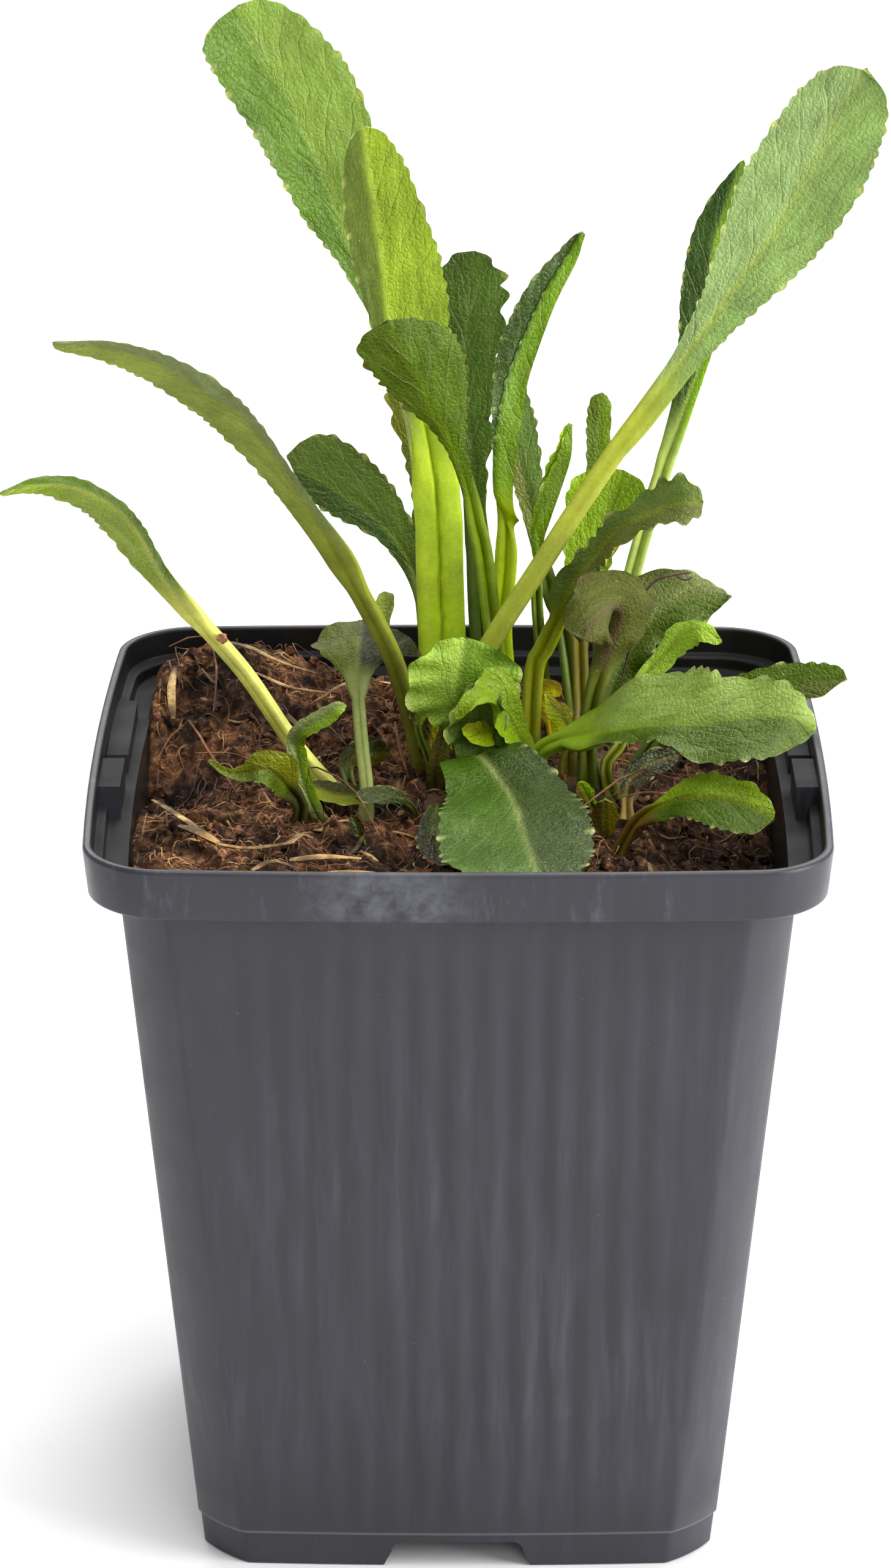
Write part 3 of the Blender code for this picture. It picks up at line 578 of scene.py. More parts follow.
reach = FOOT_HALF - 0.1
cover = CHANNEL_WIDTH / 2 + WALL
cover_top = CHANNEL_HEIGHT + WALL
apply_tool(pot, box_tool("cover", (-reach, -cover, 0.5), (reach, cover, cover_top)), "UNION")
apply_tool(pot, box_tool("cover", (-cover, -reach, 0.5), (cover, reach, cover_top)), "UNION")
width = CHANNEL_WIDTH / 2
for lengthwise, (x, y) in enumerate(((50, width), (width, 50))):
    low, high = (-x, -y, -3), (x, y, CHANNEL_HEIGHT)
    channel = box_tool("channel", low, high, CHANNEL_ROUND, lengthwise, CHANNEL_FLARE)
    apply_tool(pot, channel, "DIFFERENCE")
for hole_x, hole_y in HOLES:
    deselect_all()
    bpy.ops.mesh.primitive_cylinder_add(
        vertices=40, radius=HOLE_RADIUS * MM, depth=4 * MM,
        location=(hole_x * MM, hole_y * MM, CHANNEL_HEIGHT * MM),
    )
    apply_tool(pot, bpy.context.object, "DIFFERENCE")
for side in (-1, 1):
    for lug_from, lug_to, lug_top in LUGS:
        inner, outer = side * (RIM_HALF - WALL - 3.0), side * (RIM_HALF - 1.2)
        low = (min(inner, outer), lug_from, ledge_height - 0.4)
        high = (max(inner, outer), lug_to, lug_top)
        apply_tool(pot, box_tool("lug", low, high), "UNION")
smooth(pot, 35)
finish_piece(pot, plastic.material, "pot")

# %% [markdown]
# ## The growing medium's colour
#
# The medium is mostly peat with composted bark: dark brown where it is damp, rust brown on
# the raised crumbs, with paler straw-coloured bits. The colour follows three noises of different
# size, and the relief is strong. The crumbs' noise also makes that relief, and its near-black low
# end paints shade into the hollows between the crumbs. Whatever lies deep or in a hollow between
# the clumps is darkened by one factor of painted shade, be it peat or fibre.

# %% Medium
DARK_BELOW = 82  # height at which the medium is darkest
SHADE_SPAN = 16


def painted_depth_shade(look):
    """Painted shade on deep medium: a factor that falls from the level of the lip downwards."""
    depth = look.math("SUBTRACT", look.parts(look.place)["Z"], DARK_BELOW * MM)
    depth = look.math("DIVIDE", depth, SHADE_SPAN * MM)
    # painted shade in patches laid out by noise, standing for the shade in hollows
    painted_hollows = look.ramp(look.noise(6.5, detail=3), (0.4, 0.26), (0.5, 0.85), (0.58, 1.2))
    return look.shade(look.ramp(depth, (0.12, 0.24), (0.42, 0.8), (0.6, 1.0)), painted_hollows)


medium = Graph("peat_medium")
damp = medium.ramp(medium.noise(9, detail=4), (0.38, 0.0), (0.58, 1.0))
ground = medium.mix(damp, rgb(30, 18, 11), rgb(134, 88, 58))
grains = medium.noise(1.4, detail=8, roughness=0.7)
# the same noise makes the relief below, so the near-black low end of this ramp paints shade into
# the hollows between crumbs; the upper stops are the crumbs' own rust and pale tones
crumb_shade = medium.ramp(
    grains, (0.38, rgb(10, 6, 4)), (0.46, rgb(62, 38, 24)), (0.54, rgb(136, 90, 56)),
    (0.64, rgb(204, 158, 112)),
)
ground = medium.shade(medium.mix(0.7, ground, crumb_shade), painted_depth_shade(medium))
straw_bits = medium.ramp(medium.noise(0.7, detail=5, roughness=0.6), (0.66, 0.0), (0.72, 1.0))
relief = medium.bump(grains, 1.4, 0.9)
medium.surface({
    "Base Color": medium.mix(medium.times(straw_bits, 0.6), ground, rgb(186, 154, 112)),
    "Roughness": 0.92,
    "Specular IOR Level": 0.25,
    "Normal": medium.bump(medium.noise(0.5, detail=5, roughness=0.7), 0.3, 0.8, relief),
})
print("nodes in the medium:", len(medium.tree.nodes))

# %% Fibres and crumbs


def fibre_material(name, tones, roughness=0.8):
    """Dry plant matter: streaks along tones that change from piece to piece."""
    look = Graph(name)
    stops = [(0.3 + 0.4 * index / (len(tones) - 1), rgb(*tone)) for index, tone in enumerate(tones)]
    tone = look.ramp(look.noise(2.6, detail=4, roughness=0.6), *stops)
    tone = look.shade(tone, look.ramp(look.noise(0.35, detail=4), (0.3, 0.5), (0.7, 1.2)))
    look.surface({
        # the painted shade of deep medium and of its hollows darkens the fibres too
        "Base Color": look.shade(tone, painted_depth_shade(look)),
        "Roughness": roughness,
        "Normal": look.bump(look.noise(0.3, detail=3), 0.08, 0.7),
    })
    return look.material


fibre_brown = fibre_material("fibre_brown", [(74, 46, 28), (140, 94, 58), (178, 130, 84)])
fibre_pale = fibre_material("fibre_pale", [(104, 72, 36), (176, 138, 82), (218, 188, 132)])
fibre_copper = fibre_material("fibre_copper", [(104, 62, 40), (158, 106, 74), (132, 84, 56)])
print("fibre materials:", [look.name for look in (fibre_brown, fibre_pale, fibre_copper)])

# %% [markdown]
# ## The heap of medium
#
# The surface of the medium is not level: it is banked up at the back left, sunk beside the left
# wall and low along the right wall. The same hills and hollows as in the solid are raised here on a
# much finer grid, with noise on top for the clumps, the pits between them and the crumbs. The
# grid's edge dips at the wall of the pot.

# %% Height of the medium
SOIL_LEVEL = 89.6
# x, y, rise and spread of each hill or hollow
SOIL_FORMS = [
    (-30, 33, 8, 11), (2, 38, 2, 12), (-36, 8, -5, 6), (-29, -27, 2.2, 12),
    (36, -6, -5.5, 13), (30, 38, 1.5, 10), (34, -34, -3, 12), (8, -30, 1, 8),
]


def soil_form(x, y):
    """The broad height of the medium, without its crumbs."""
    height = SOIL_LEVEL
    for form_x, form_y, rise, spread in SOIL_FORMS:
        height += rise * math.exp(-((x - form_x) ** 2 + (y - form_y) ** 2) / (2 * spread**2))
    return height


def soil_height(x, y):
    """The height of the medium with its clumps, pits and crumbs."""

    def wander(size, layer):
        return noise.noise(Vector((x / size, y / size, layer)))

    height = soil_form(x, y) + wander(4.2, 0)
    height += 1.5 * (0.25 - abs(wander(2.2, 5.1)))
    height -= 5.0 * max(0.0, wander(5.2, 9.4) - 0.16)
    return height + 0.45 * noise.fractal(Vector((x / 0.9, y / 0.9, 2.3)), 1.0, 2.0, 3)


def inner_half(height):
    """Half the width of the pot's body inside, at a height."""
    share = (height - body_foot) / (ledge_height - body_foot)
    return BODY_FOOT_HALF + (BODY_TOP_HALF - BODY_FOOT_HALF) * share - WALL


def in_pot(u, v, half):
    """Moves a point of the square from -1 to 1 into the pot's bowed outline and cut corners."""
    across = max(1.0, (abs(u) + abs(v)) / max(abs(u), abs(v), 1e-9))
    scale = half * min(1, (2 - inner_cut / half) / across)
    return bowed(u * scale, v * scale, half)


print("height in the middle:", round(soil_height(0, 0), 1), "mm")

# %% The heap
SOIL_COLUMNS = 270
EDGE_DIP = 1.6
OVERLAP = 0.25  # how far the heap reaches into the wall, so that no gap shows


def soil_points():
    points = []
    widest = BODY_TOP_HALF - WALL
    for v in np.linspace(-1, 1, SOIL_COLUMNS):
        for u in np.linspace(-1, 1, SOIL_COLUMNS):
            half = widest
            for _ in range(2):
                height = soil_height(*in_pot(u, v, half))
                half = min(inner_half(min(height, ledge_height - 0.6)), widest)
            dip = EDGE_DIP * max(0.0, (max(abs(u), abs(v)) - 0.975) / 0.025) ** 2
            points.append((*in_pot(u, v, half + OVERLAP), height - dip))
    return points


soil = sheet("medium_heap", SOIL_COLUMNS, SOIL_COLUMNS)
place_points(soil, soil_points())
edit_all(soil)
bpy.ops.mesh.normals_make_consistent(inside=False)
bpy.ops.mesh.select_mode(type="EDGE")
bpy.ops.mesh.region_to_loop()
bpy.ops.mesh.extrude_region_move(TRANSFORM_OT_translate={"value": (0, 0, -50 * MM)})
bpy.ops.transform.resize(value=(0.88, 0.88, 1), center_override=(0, 0, 0))
bpy.ops.mesh.edge_face_add()
bpy.ops.object.mode_set(mode="OBJECT")
smooth(soil, 60)
finish_piece(soil, medium.material, "growing_medium")

# %% [markdown]
# ## How a leaf looks
#
# A leaf is never one green. Each point of a leaf made below carries two values of its own:
# tint_and_shade, the colour there with painted light and shade in it, and lie, which says how far
# the point is from the midrib, how far along the leaf, and whether it is on the blade. The material
# lays on top of tint_and_shade what every leaf has: side veins that run forward from the midrib,
# the fine net between them, blotches, painted shade in the low parts of the wrinkles, a pale
# painted sheen on the raised cells and grains of dust. Part of the light goes through the blade, so
# leaves with the lamp behind them glow.

# %% Leaf materials: veins and wrinkles
VEIN_SPACING = 6.2
VEIN_LEAN = 2.6
NET_SIZE = 0.7


def leaf_pattern(look):
    """Masks for the side veins and the net, the height of the wrinkles, and where the blade is."""
    lie = look.node("ShaderNodeAttribute", attribute_name="lie").outputs["Vector"]
    parts = look.parts(lie)
    across, along, blade = parts["X"], parts["Y"], parts["Z"]
    away = look.math("POWER", look.math("ABSOLUTE", across), 0.85)
    wander = look.times(look.math("SUBTRACT", look.noise(6, detail=2), 0.5), 6.0)
    run = look.math("ADD", look.math("ADD", along, look.times(away, -VEIN_LEAN)), wander)
    beat = look.math("FRACT", look.math("DIVIDE", run, VEIN_SPACING))
    vein = look.ramp(beat, (0, 1.0), (0.05, 0.2), (0.14, 0.0), (0.86, 0.0), (0.95, 0.2), (1, 1.0))
    vein = look.times(vein, blade, look.ramp(look.noise(4), (0.35, 0.2), (0.6, 1.0)))
    # sampled along the side veins, so wrinkles and wax lie between them
    skewed = {"X": look.times(run, 0.34 * MM), "Y": look.times(across, MM)}
    skewed = look.node("ShaderNodeCombineXYZ", skewed).outputs[0]
    pucker = look.noise(1.7, detail=4, roughness=0.62, place=skewed)
    net = look.ramp(look.cells(NET_SIZE, "DISTANCE_TO_EDGE"), (0.0, 1.0), (0.2, 0.0))
    return vein, look.times(net, blade), pucker, blade


print("side veins every", VEIN_SPACING, "mm")

# %% Leaf materials: colour, gloss and relief
PAINTED_SHEEN_COLOUR = rgb(168, 186, 134)
DUST_COLOUR = rgb(214, 216, 176)


def leaf_colour(look, pattern, sheen_share):
    vein, net, pucker, blade = pattern
    tint_and_shade = look.node("ShaderNodeAttribute", attribute_name="tint_and_shade").outputs["Color"]
    blotch = look.noise(5.5, detail=6, roughness=0.62)
    colour = look.shade(tint_and_shade, look.ramp(blotch, (0.3, 0.76), (0.7, 1.22)))
    # painted shade in the low parts of the wrinkles and painted light on their tops, following the
    # relief
    pucker_shade = look.ramp(pucker, (0.36, 0.8), (0.52, 1.0), (0.66, 1.12))
    colour = look.shade(colour, look.mix(look.times(blade, 0.8), (1, 1, 1), pucker_shade))
    fine = look.noise(0.4, detail=4, roughness=0.65)
    colour = look.shade(colour, look.ramp(fine, (0.3, 0.9), (0.7, 1.1)))
    pale = look.mix(0.4, colour, rgb(196, 210, 120))
    colour = look.mix(look.times(vein, 0.22), colour, pale)
    colour = look.mix(look.times(net, 0.08), colour, pale)
    patchy = look.ramp(look.noise(9), (0.4, 0.25), (0.6, 1.0))
    # a pale painted sheen on the raised cells of the wrinkles, in patches
    painted_sheen = look.times(look.ramp(pucker, (0.48, 0.0), (0.7, 1.0)), patchy, blade, sheen_share)
    colour = look.mix(painted_sheen, colour, PAINTED_SHEEN_COLOUR)
    dust = look.ramp(look.cells(1.7), (0.03, 0.6), (0.07, 0.0))
    dust = look.times(dust, look.ramp(look.noise(3), (0.5, 0.0), (0.55, 1.0)))
    return look.mix(dust, colour, DUST_COLOUR)


def leaf_material(name, glow, dull, gloss, sheen_share):
    """Glow is the share of light let through, dull the roughness, sheen_share the amount of pale
    painted sheen.
    """
    look = Graph(name)
    pattern = leaf_pattern(look)
    vein, net, pucker, blade = pattern
    colour = leaf_colour(look, pattern, sheen_share)
    rough = look.noise(1.1, detail=5, roughness=0.6)
    height = look.math("ADD", look.times(vein, -0.8), look.times(net, -0.35))
    relief = look.bump(height, 0.2, 0.9)
    relief = look.bump(look.noise(0.5, detail=4), 0.05, 0.6, relief)
    relief = look.bump(look.times(pucker, blade), 0.5, 0.75, relief)
    look.surface({
        "Base Color": colour,
        "Roughness": look.ramp(rough, (0.3, dull - 0.1), (0.7, dull + 0.14)),
        "Specular IOR Level": gloss,
        "Specular Tint": (1.0, 1.0, 0.66),
        "Normal": relief,
    })
    warm = look.shade(colour, (1.1, 1.15, 0.55))
    through = look.node("ShaderNodeBsdfTranslucent", {"Normal": relief, "Color": warm})
    both = look.node("ShaderNodeMixShader", {
        0: glow, 1: look.shader.outputs[0], 2: through.outputs[0]
    })
    look.put(both.outputs[0], look.tree.nodes["Material Output"].inputs["Surface"])
    return look.material


LEAF_LOOKS = {
    slot: leaf_material(slot, *values) for slot, values in {
        "leaf_green": (0.2, 0.33, 0.5, 0.24),
        "leaf_bright": (0.3, 0.35, 0.4, 0.1),
        "leaf_dark": (0.12, 0.34, 0.4, 0.08),
        "leaf_olive": (0.18, 0.48, 0.24, 0.06),
        "leaf_withered": (0.3, 0.55, 0.25, 0.1),
    }.items()
}
print("leaf materials:", list(LEAF_LOOKS))

# %% [markdown]
# ## How a leaf is shaped
#
# A leaf could be cut from a plane and given thickness by a modifier, but then its stalk would stay
# a flat strip. So a grid is rolled into a flat tube instead: half of its columns make the upper
# side and the rest come back along the under side. On the stalk the tube is as deep as a real one,
# round below and grooved above. On the blade it is thin, with a keel under the midrib. The midrib
# follows a curve through given points, and the two halves of the blade have their own widths,
# because a real leaf is never even. Small forward-pointing teeth line the margins, and their tips
# have a colour of their own.

# %% Curves and easing


def curve_through(points):
    """A fine Catmull-Rom curve through the points, and the distance along it."""
    points = [np.asarray(point, dtype=float) for point in points]
    ends = [2 * points[0] - points[1], *points, 2 * points[-1] - points[-2]]
    fine = []
    for a, b, c, d in zip(ends, ends[1:], ends[2:], ends[3:]):
        for t in np.linspace(0, 1, 24, endpoint=False):
            bend = (2 * a - 5 * b + 4 * c - d) * t * t + (3 * b - a - 3 * c + d) * t**3
            fine.append((2 * b + (c - a) * t + bend) / 2)
    fine.append(points[-1])
    fine = np.array(fine)
    steps = np.linalg.norm(np.diff(fine, axis=0), axis=1)
    return fine, np.concatenate([[0], np.cumsum(steps)])


def along_curve(fine, reached, shares):
    """The points at given shares of a curve's length."""
    wanted = np.clip(shares, 0, 1) * reached[-1]
    return np.stack([np.interp(wanted, reached, fine[:, axis]) for axis in range(3)], axis=1)


def unit(vectors):
    return vectors / np.maximum(np.linalg.norm(vectors, axis=-1, keepdims=True), 1e-9)


def ease(value):
    """Goes softly from 0 to 1 while the value goes from 0 to 1."""
    value = np.clip(value, 0, 1)
    return value * value * (3 - 2 * value)


def bell(value, width):
    """1 at zero, falling away within the width."""
    return np.exp(-((value / width) ** 2))


print("half way, easing gives", ease(0.5))

# %% Line and frame of a leaf
STALK_STEP = 1.3  # length of the grid's rows on the stalk
BLADE_STEP = 0.34  # and on the blade
CROWN_TOP = 89.5
SUNK = 1.2  # how deep a stalk's foot is set into what carries it


def leaf_line(root, spine, start, reach, face, in_soil):
    """The rows of a leaf along its midrib, with the directions across and out of the blade."""
    ground = soil_form(*root) if in_soil else CROWN_TOP
    fine, reached = curve_through([(*root, ground - SUNK), *spine])
    length = reached[-1]
    stalk_rows = max(4, round(length * start / STALK_STEP))
    blade_rows = max(24, round(length * (1 - start) / BLADE_STEP))
    on_stalk = np.linspace(0, start, stalk_rows, endpoint=False)
    along = np.concatenate([on_stalk, start + (1 - start) * np.linspace(0, 1, blade_rows)])
    ahead = along_curve(fine, reached, along + reach) - along_curve(fine, reached, along - reach)
    tangent = unit(ahead)
    side = unit(np.cross(tangent, np.asarray(face, dtype=float)))
    return along, length, along_curve(fine, reached, along), side, np.cross(side, tangent)


print("the crown's top is", CROWN_TOP, "mm up")

# %% Margins of a leaf
BLADE_STATIONS = (0.0, 0.15, 0.3, 0.45, 0.6, 0.75, 0.88, 0.96)


def blade_half(values, share):
    """Half the width of one side of the blade, from the values at the stations, round-ended."""
    grid = np.linspace(0, 1, 401)
    width = np.interp(grid, BLADE_STATIONS, values)
    soft = np.convolve(np.pad(width, 14, mode="edge"), np.ones(29) / 29, mode="valid")
    cap = np.clip((grid - 0.93) / 0.07, 0, 1)
    return np.interp(share, grid, soft * np.sqrt(np.maximum(1 - cap**2, 0)))


def margin(values, along, length, start, stalk, teeth, pitch, rng):
    """Half width, teeth between 0 and 1, and size of the teeth along one side of a leaf."""
    blade = np.clip((along - start) / (1 - start), 0, 1)
    opened = ease((along - start) / 0.12 + 0.5)
    keeled = stalk / 2 * (0.95 + 0.35 * (1 - ease(along / 0.12)))
    width = blade_half(values, blade) * ease((along - start) / 0.16 + 1)
    half = np.maximum(width, keeled * (1 - blade) ** 0.8 * (1 - 0.25 * opened))
    place = along * length
    beat = place / (pitch * (0.85 + 0.3 * rng.random()))
    beat = beat + 0.35 * np.sin(place / 2.3 + 6 * rng.random())
    size = 0.76 + 0.24 * np.sin(np.floor(beat) * 2.4 + 6 * rng.random())
    tooth = (1 - np.abs(2 * (beat % 1) ** 1.5 - 1) ** 1.8) * size
    shown = ease((blade - 0.12) / 0.2) * np.clip(half / 3, 0.25, 1) * ease((1 - blade) / 0.04)
    return half, tooth, teeth * shown


print("widths are given at", BLADE_STATIONS, "of the blade")

# %% Upper side of a leaf
UPPER_COLUMNS = 25
MIDRIB = UPPER_COLUMNS // 2


def across_section(fold, curl):
    """Where a half's columns lie beside and above the midrib, for a half one millimetre wide."""
    steps = np.linspace(0, 1, MIDRIB + 1)
    lift = np.radians(fold + curl * (steps[1:] + steps[:-1]) / 2)
    beside = np.concatenate([[0], np.cumsum(np.cos(lift) * np.diff(steps))])
    above = np.concatenate([[0], np.cumsum(np.sin(lift) * np.diff(steps))])
    return beside, above


def upper_side(halves, fold, curl, line, side, normal, opened, blade, ripple):
    """Points of the upper side, with their distance from the midrib and their share of a tooth."""
    upper = np.zeros((len(line), UPPER_COLUMNS, 3))
    lie, toothed = np.zeros(upper.shape[:2]), np.zeros(upper.shape[:2])
    wave, waves, shift = ripple
    flat_beside, flat_above = across_section(0, 0)
    for sign, (half, tooth, amount), angle, roll in zip((-1, 1), halves, fold, curl):
        beside, above = across_section(angle, roll)
        swing = np.sin(2 * np.pi * waves * blade + (1.1 if sign > 0 else 0) + shift)
        for column, spread in enumerate(np.linspace(0, 1, MIDRIB + 1)):
            b = flat_beside[column] + (beside[column] - flat_beside[column]) * opened
            a = flat_above[column] + (above[column] - flat_above[column]) * opened
            edge = ease((spread - 0.72) / 0.28)
            out = half + edge * amount * (tooth - 0.6)
            rise = out * a + wave * spread**2 * swing * ease(blade / 0.3)
            place = MIDRIB + sign * column
            upper[:, place] = line + side * (sign * out * b)[:, None] + normal * rise[:, None]
            lie[:, place] = sign * out * spread
            toothed[:, place] = edge * tooth * (amount > 0.05)
    return upper, lie, toothed


print("columns on the upper side:", UPPER_COLUMNS)

# %% Thickness of a leaf
UNDER_COLUMNS = 11
UNDER_PICKS = np.round(np.linspace(UPPER_COLUMNS - 1, 0, UNDER_COLUMNS + 1)[1:]).astype(int)[:-1]
RIB_WIDTH = 1 / 2.4  # of the midrib, as a share of the stalk's width


def round_trip(above, below):
    """Columns across the upper side, back along the under side, and the first one again."""
    return np.concatenate([above, below[:, UNDER_PICKS], above[:, :1]], axis=1)


def thicken(upper, lie, stalkness, blade, stalk, deep, thick, groove, hollow):
    """The loop of points round a leaf: grooved and deep on the stalk, thin on the blade."""
    out = unit(np.cross(np.gradient(upper, axis=1), np.gradient(upper, axis=0)))
    across = np.linspace(-1, 1, UPPER_COLUMNS)[None, :]
    rib_fade = (1 - 0.65 * blade)[:, None]
    s = stalkness[:, None]
    belly = np.sqrt(np.maximum(1 - across**2, 0))
    raised = s * 0.3 * deep * (belly - 2 * hollow * bell(across, 0.42))
    raised = raised - (1 - s) * 0.14 * bell(np.abs(lie), 0.42 * stalk * RIB_WIDTH) * rib_fade
    raised = raised - s * groove * bell(across, 0.09)
    leafy = thick * np.sqrt(np.maximum(1 - np.abs(across) ** 3, 0.04))
    keel = 0.75 * bell(np.abs(lie), 0.5 * stalk * RIB_WIDTH) * rib_fade * min(1, stalk * RIB_WIDTH)
    depth = s * deep * (0.1 + belly) + (1 - s) * (leafy + keel)
    return round_trip(upper + out * raised[..., None], upper - out * depth[..., None])


print("columns on the under side:", UNDER_COLUMNS)

# %% Colours of a leaf


def leaf_colours(paint, along, start, lie, toothed, stalkness, stalk, groove):
    """Colours of the upper and the under side."""
    tone = {
        name: np.array(rgb(*value)) for name, value in paint.items() if value and name != "foot"
    }
    stem, left, right = tone["stem"], tone["left"], tone["right"]
    middle = (left + right) / 2
    rib = tone.get("rib", 0.5 * stem + 0.5 * middle)
    under = tone.get("under", 0.72 * middle + 0.28 * stem)
    mixed = ease(lie / 1.2 + 0.5)[..., None]
    ribbed = bell(np.abs(lie), 0.34 * stalk * RIB_WIDTH + 0.1)[..., None]
    ribbed = ribbed * (1 - 0.6 * np.clip((along - start) / (1 - start), 0, 1))[:, None, None]
    stemmed = ease(stalkness[:, None] * 1.25 - 0.1)[..., None]
    low = (1 - ease(along / (0.7 * start)))[:, None, None]
    stem = stem * (1 - low * (1 - np.array(paint["foot"], dtype=float)))
    # the left and the right colour are the two halves of the blade, one lit and one in shade, so
    # they carry painted light and shade
    top = (left * (1 - mixed) + right * mixed) * (1 - ribbed) + rib * ribbed
    # painted shade along the groove of a stalk, on a slightly wandering line
    crease = 0.16 * np.sin(along * 61) + 0.1 * np.sin(along * 143)
    shaded = (1 - min(0.75, groove) * bell(lie - crease[:, None], 0.22))[..., None]
    across = np.linspace(-1, 1, UPPER_COLUMNS)[None, :]
    # a painted highlight along both sides of a stalk
    stalk_highlight = (0.22 * bell(np.abs(across) - 0.62, 0.22))[..., None]
    highlit_stem = stem * (1 - stalk_highlight) + np.minimum(1, stem * 1.1 + 0.12) * stalk_highlight
    top = top * (1 - stemmed) + highlit_stem * shaded * stemmed
    below = under * (1 - ribbed) + (0.5 * under + 0.5 * rib) * ribbed
    below = below * (1 - stemmed) + stem * stemmed
    tipped = (np.clip(toothed - 0.55, 0, 1) / 0.45)[..., None] * 0.85
    return top * (1 - tipped) + tone["tip"] * tipped, below * (1 - tipped) + tone["tip"] * tipped


print("a groove darkens a stalk by three quarters at most")

# %% The leaf
TO_VIEWER = (0, -0.94, 0.35)
TIP_COLOUR = (206, 206, 120)


def leaf(
    name, slot, root, spine, left, right=None, start=0.45, stalk=2.4, fold=(5, 5), face=TO_VIEWER,
    tint_and_shade=None, stem=None, under=None, in_soil=False, deep=1.5, curl=(0, 0), teeth=0.5, wave=0.0,
    waves=3, reach=0.04, tip_colour=TIP_COLOUR, rib=None, thick=0.34, groove=0.2, hollow=0.5,
    pitch=2.0, foot=(1, 1, 1), extra=False,
):
    """A leaf from its foot to its tip; left and right hold the half widths of the blade."""
    along, length, line, side, normal = leaf_line(root, spine, start, reach, face, in_soil)
    blade = np.clip((along - start) / (1 - start), 0, 1)
    stalkness = 1 - ease((along - start) / 0.22 + 0.35)
    opened = ease((along - start) / 0.12 + 0.5)
    rng = np.random.default_rng(sum(ord(letter) for letter in name))
    halves = [
        margin(values, along, length, start, stalk, teeth, pitch, rng)
        for values in (left, right or left)
    ]
    ripple = (wave, waves, 5 * (len(name) % 3))
    upper, lie, toothed = upper_side(
        halves, fold, curl, line, side, normal, opened, blade, ripple
    )
    loop = thicken(upper, lie, stalkness, blade, stalk, deep, thick, groove, hollow)
    # tint_and_shade, stem and under hold the leaf's own green together with painted light and
    # shade: a lit half lighter, a half or a leaf in shadow darker, down to near-black
    paint = {"left": tint_and_shade[0], "right": tint_and_shade[1], "stem": stem, "under": under, "tip": tip_colour}
    paint.update({"rib": rib, "foot": foot})
    colours = round_trip(
        *leaf_colours(paint, along, start, lie, toothed, stalkness, stalk, groove)
    )
    lies = round_trip(lie, lie)
    bladed = np.broadcast_to(ease(blade[:, None] / 0.25), lies.shape)
    lies = np.stack([lies, np.broadcast_to((along * length)[:, None], lies.shape), bladed], axis=2)
    piece = sheet("dressed_" + name, loop.shape[1], len(along))
    place_points(piece, loop)
    layer = piece.data.attributes.new("tint_and_shade", "FLOAT_COLOR", "POINT")
    opaque = np.ones((*colours.shape[:2], 1))
    layer.data.foreach_set("color", np.concatenate([colours, opaque], axis=2).ravel())
    layer = piece.data.attributes.new("lie", "FLOAT_VECTOR", "POINT")
    layer.data.foreach_set("vector", lies.ravel())
    close_and_merge(piece)
    smooth(piece, 50 if extra else 80)
    finish_piece(piece, LEAF_LOOKS[slot], None if extra else name)


print("leaf helper ready")

# %% [markdown]
# ## The leaves at the back of the clump
#
# The tallest and the oldest leaves rise at the back: a long spoon that leans left with a pale
# stalk, and dark ones half hidden behind the middle. Every leaf below is written as its foot, the
# points its midrib passes, the half widths of its blade left and right, and its colours. The foot
# of a stalk is set into the crown, and the stalk of a leaf that stands by itself into the medium.

# %% Back leaves
# the colours of every leaf below hold painted light and shade besides its own green
leaf(
    "leaf_tall_left", "leaf_green", (-0.5, 26),
    [(-2.5, 28, 105), (-4, 30, 119), (-5.5, 32, 130), (-9.3, 34, 140.7), (-14.6, 36, 154),
     (-16.8, 36.5, 160.5), (-20.3, 37, 168), (-23.7, 38, 173.7), (-27.6, 38, 181.6)],
    left=(1, 1.3, 2.6, 5.2, 6.2, 6.6, 7, 7.2), right=(1.6, 2.2, 3.4, 6, 8.4, 8.9, 7.4, 5.2),
    start=0.5, stalk=3.2, fold=(12, 8), tint_and_shade=((89, 126, 30), (148, 180, 73)), stem=(160, 178, 76),
    curl=(10, 14), wave=0.35,
)
leaf(
    "leaf_dark_back", "leaf_dark", (4, 31),
    [(3, 31, 104), (2.5, 32, 116), (1.5, 33, 128), (1, 34, 136), (1.5, 35, 143.5), (2, 36, 150.5)],
    left=(1.8, 1.7, 1.6, 1.9, 2.6, 3.6, 4.4, 4.6), right=(0.7, 1.3, 2.4, 3.6, 4.7, 4.8, 4.9, 3.4),
    start=0.4, stalk=3.6, tint_and_shade=((49, 76, 4), (69, 99, 27)), stem=(80, 100, 30), teeth=1.7,
    pitch=3.8,
)
leaf(
    "leaf_dark_inner", "leaf_dark", (-1.5, 31),
    [(-5.1, 34.7, 110.9), (-5.4, 35.3, 117.6), (-6, 36, 124.2), (-6.5, 36.4, 128.9),
     (-6.5, 36.8, 132.8), (-6.2, 37, 136.2)],
    left=(0.4, 0.4, 0.4, 0.7, 1.3, 2.5, 2.7, 1.4), right=(1, 1.4, 2.6, 3.5, 3.9, 3.9, 3.2, 2),
    start=0.4, stalk=2, tint_and_shade=((139, 145, 40), (78, 101, 2)), stem=(90, 110, 25), teeth=1.3,
    pitch=2.8,
)
leaf(
    "leaf_dark_left", "leaf_dark", (-4, 22),
    [(-4, 23, 103.5), (-5, 24.5, 110), (-8, 26, 115.5), (-11.5, 28, 118.5), (-15, 30, 120.5),
     (-19, 31.5, 122.5), (-22, 32.5, 124.5)],
    left=(1.1, 1.3, 1.8, 2.4, 3.3, 3.3, 1.7, 0.5), right=(1.3, 1.8, 2.8, 4.4, 5.4, 5.9, 5.8, 4.1),
    tint_and_shade=((40, 72, 2), (80, 104, 27)), stem=(120, 135, 40),
)
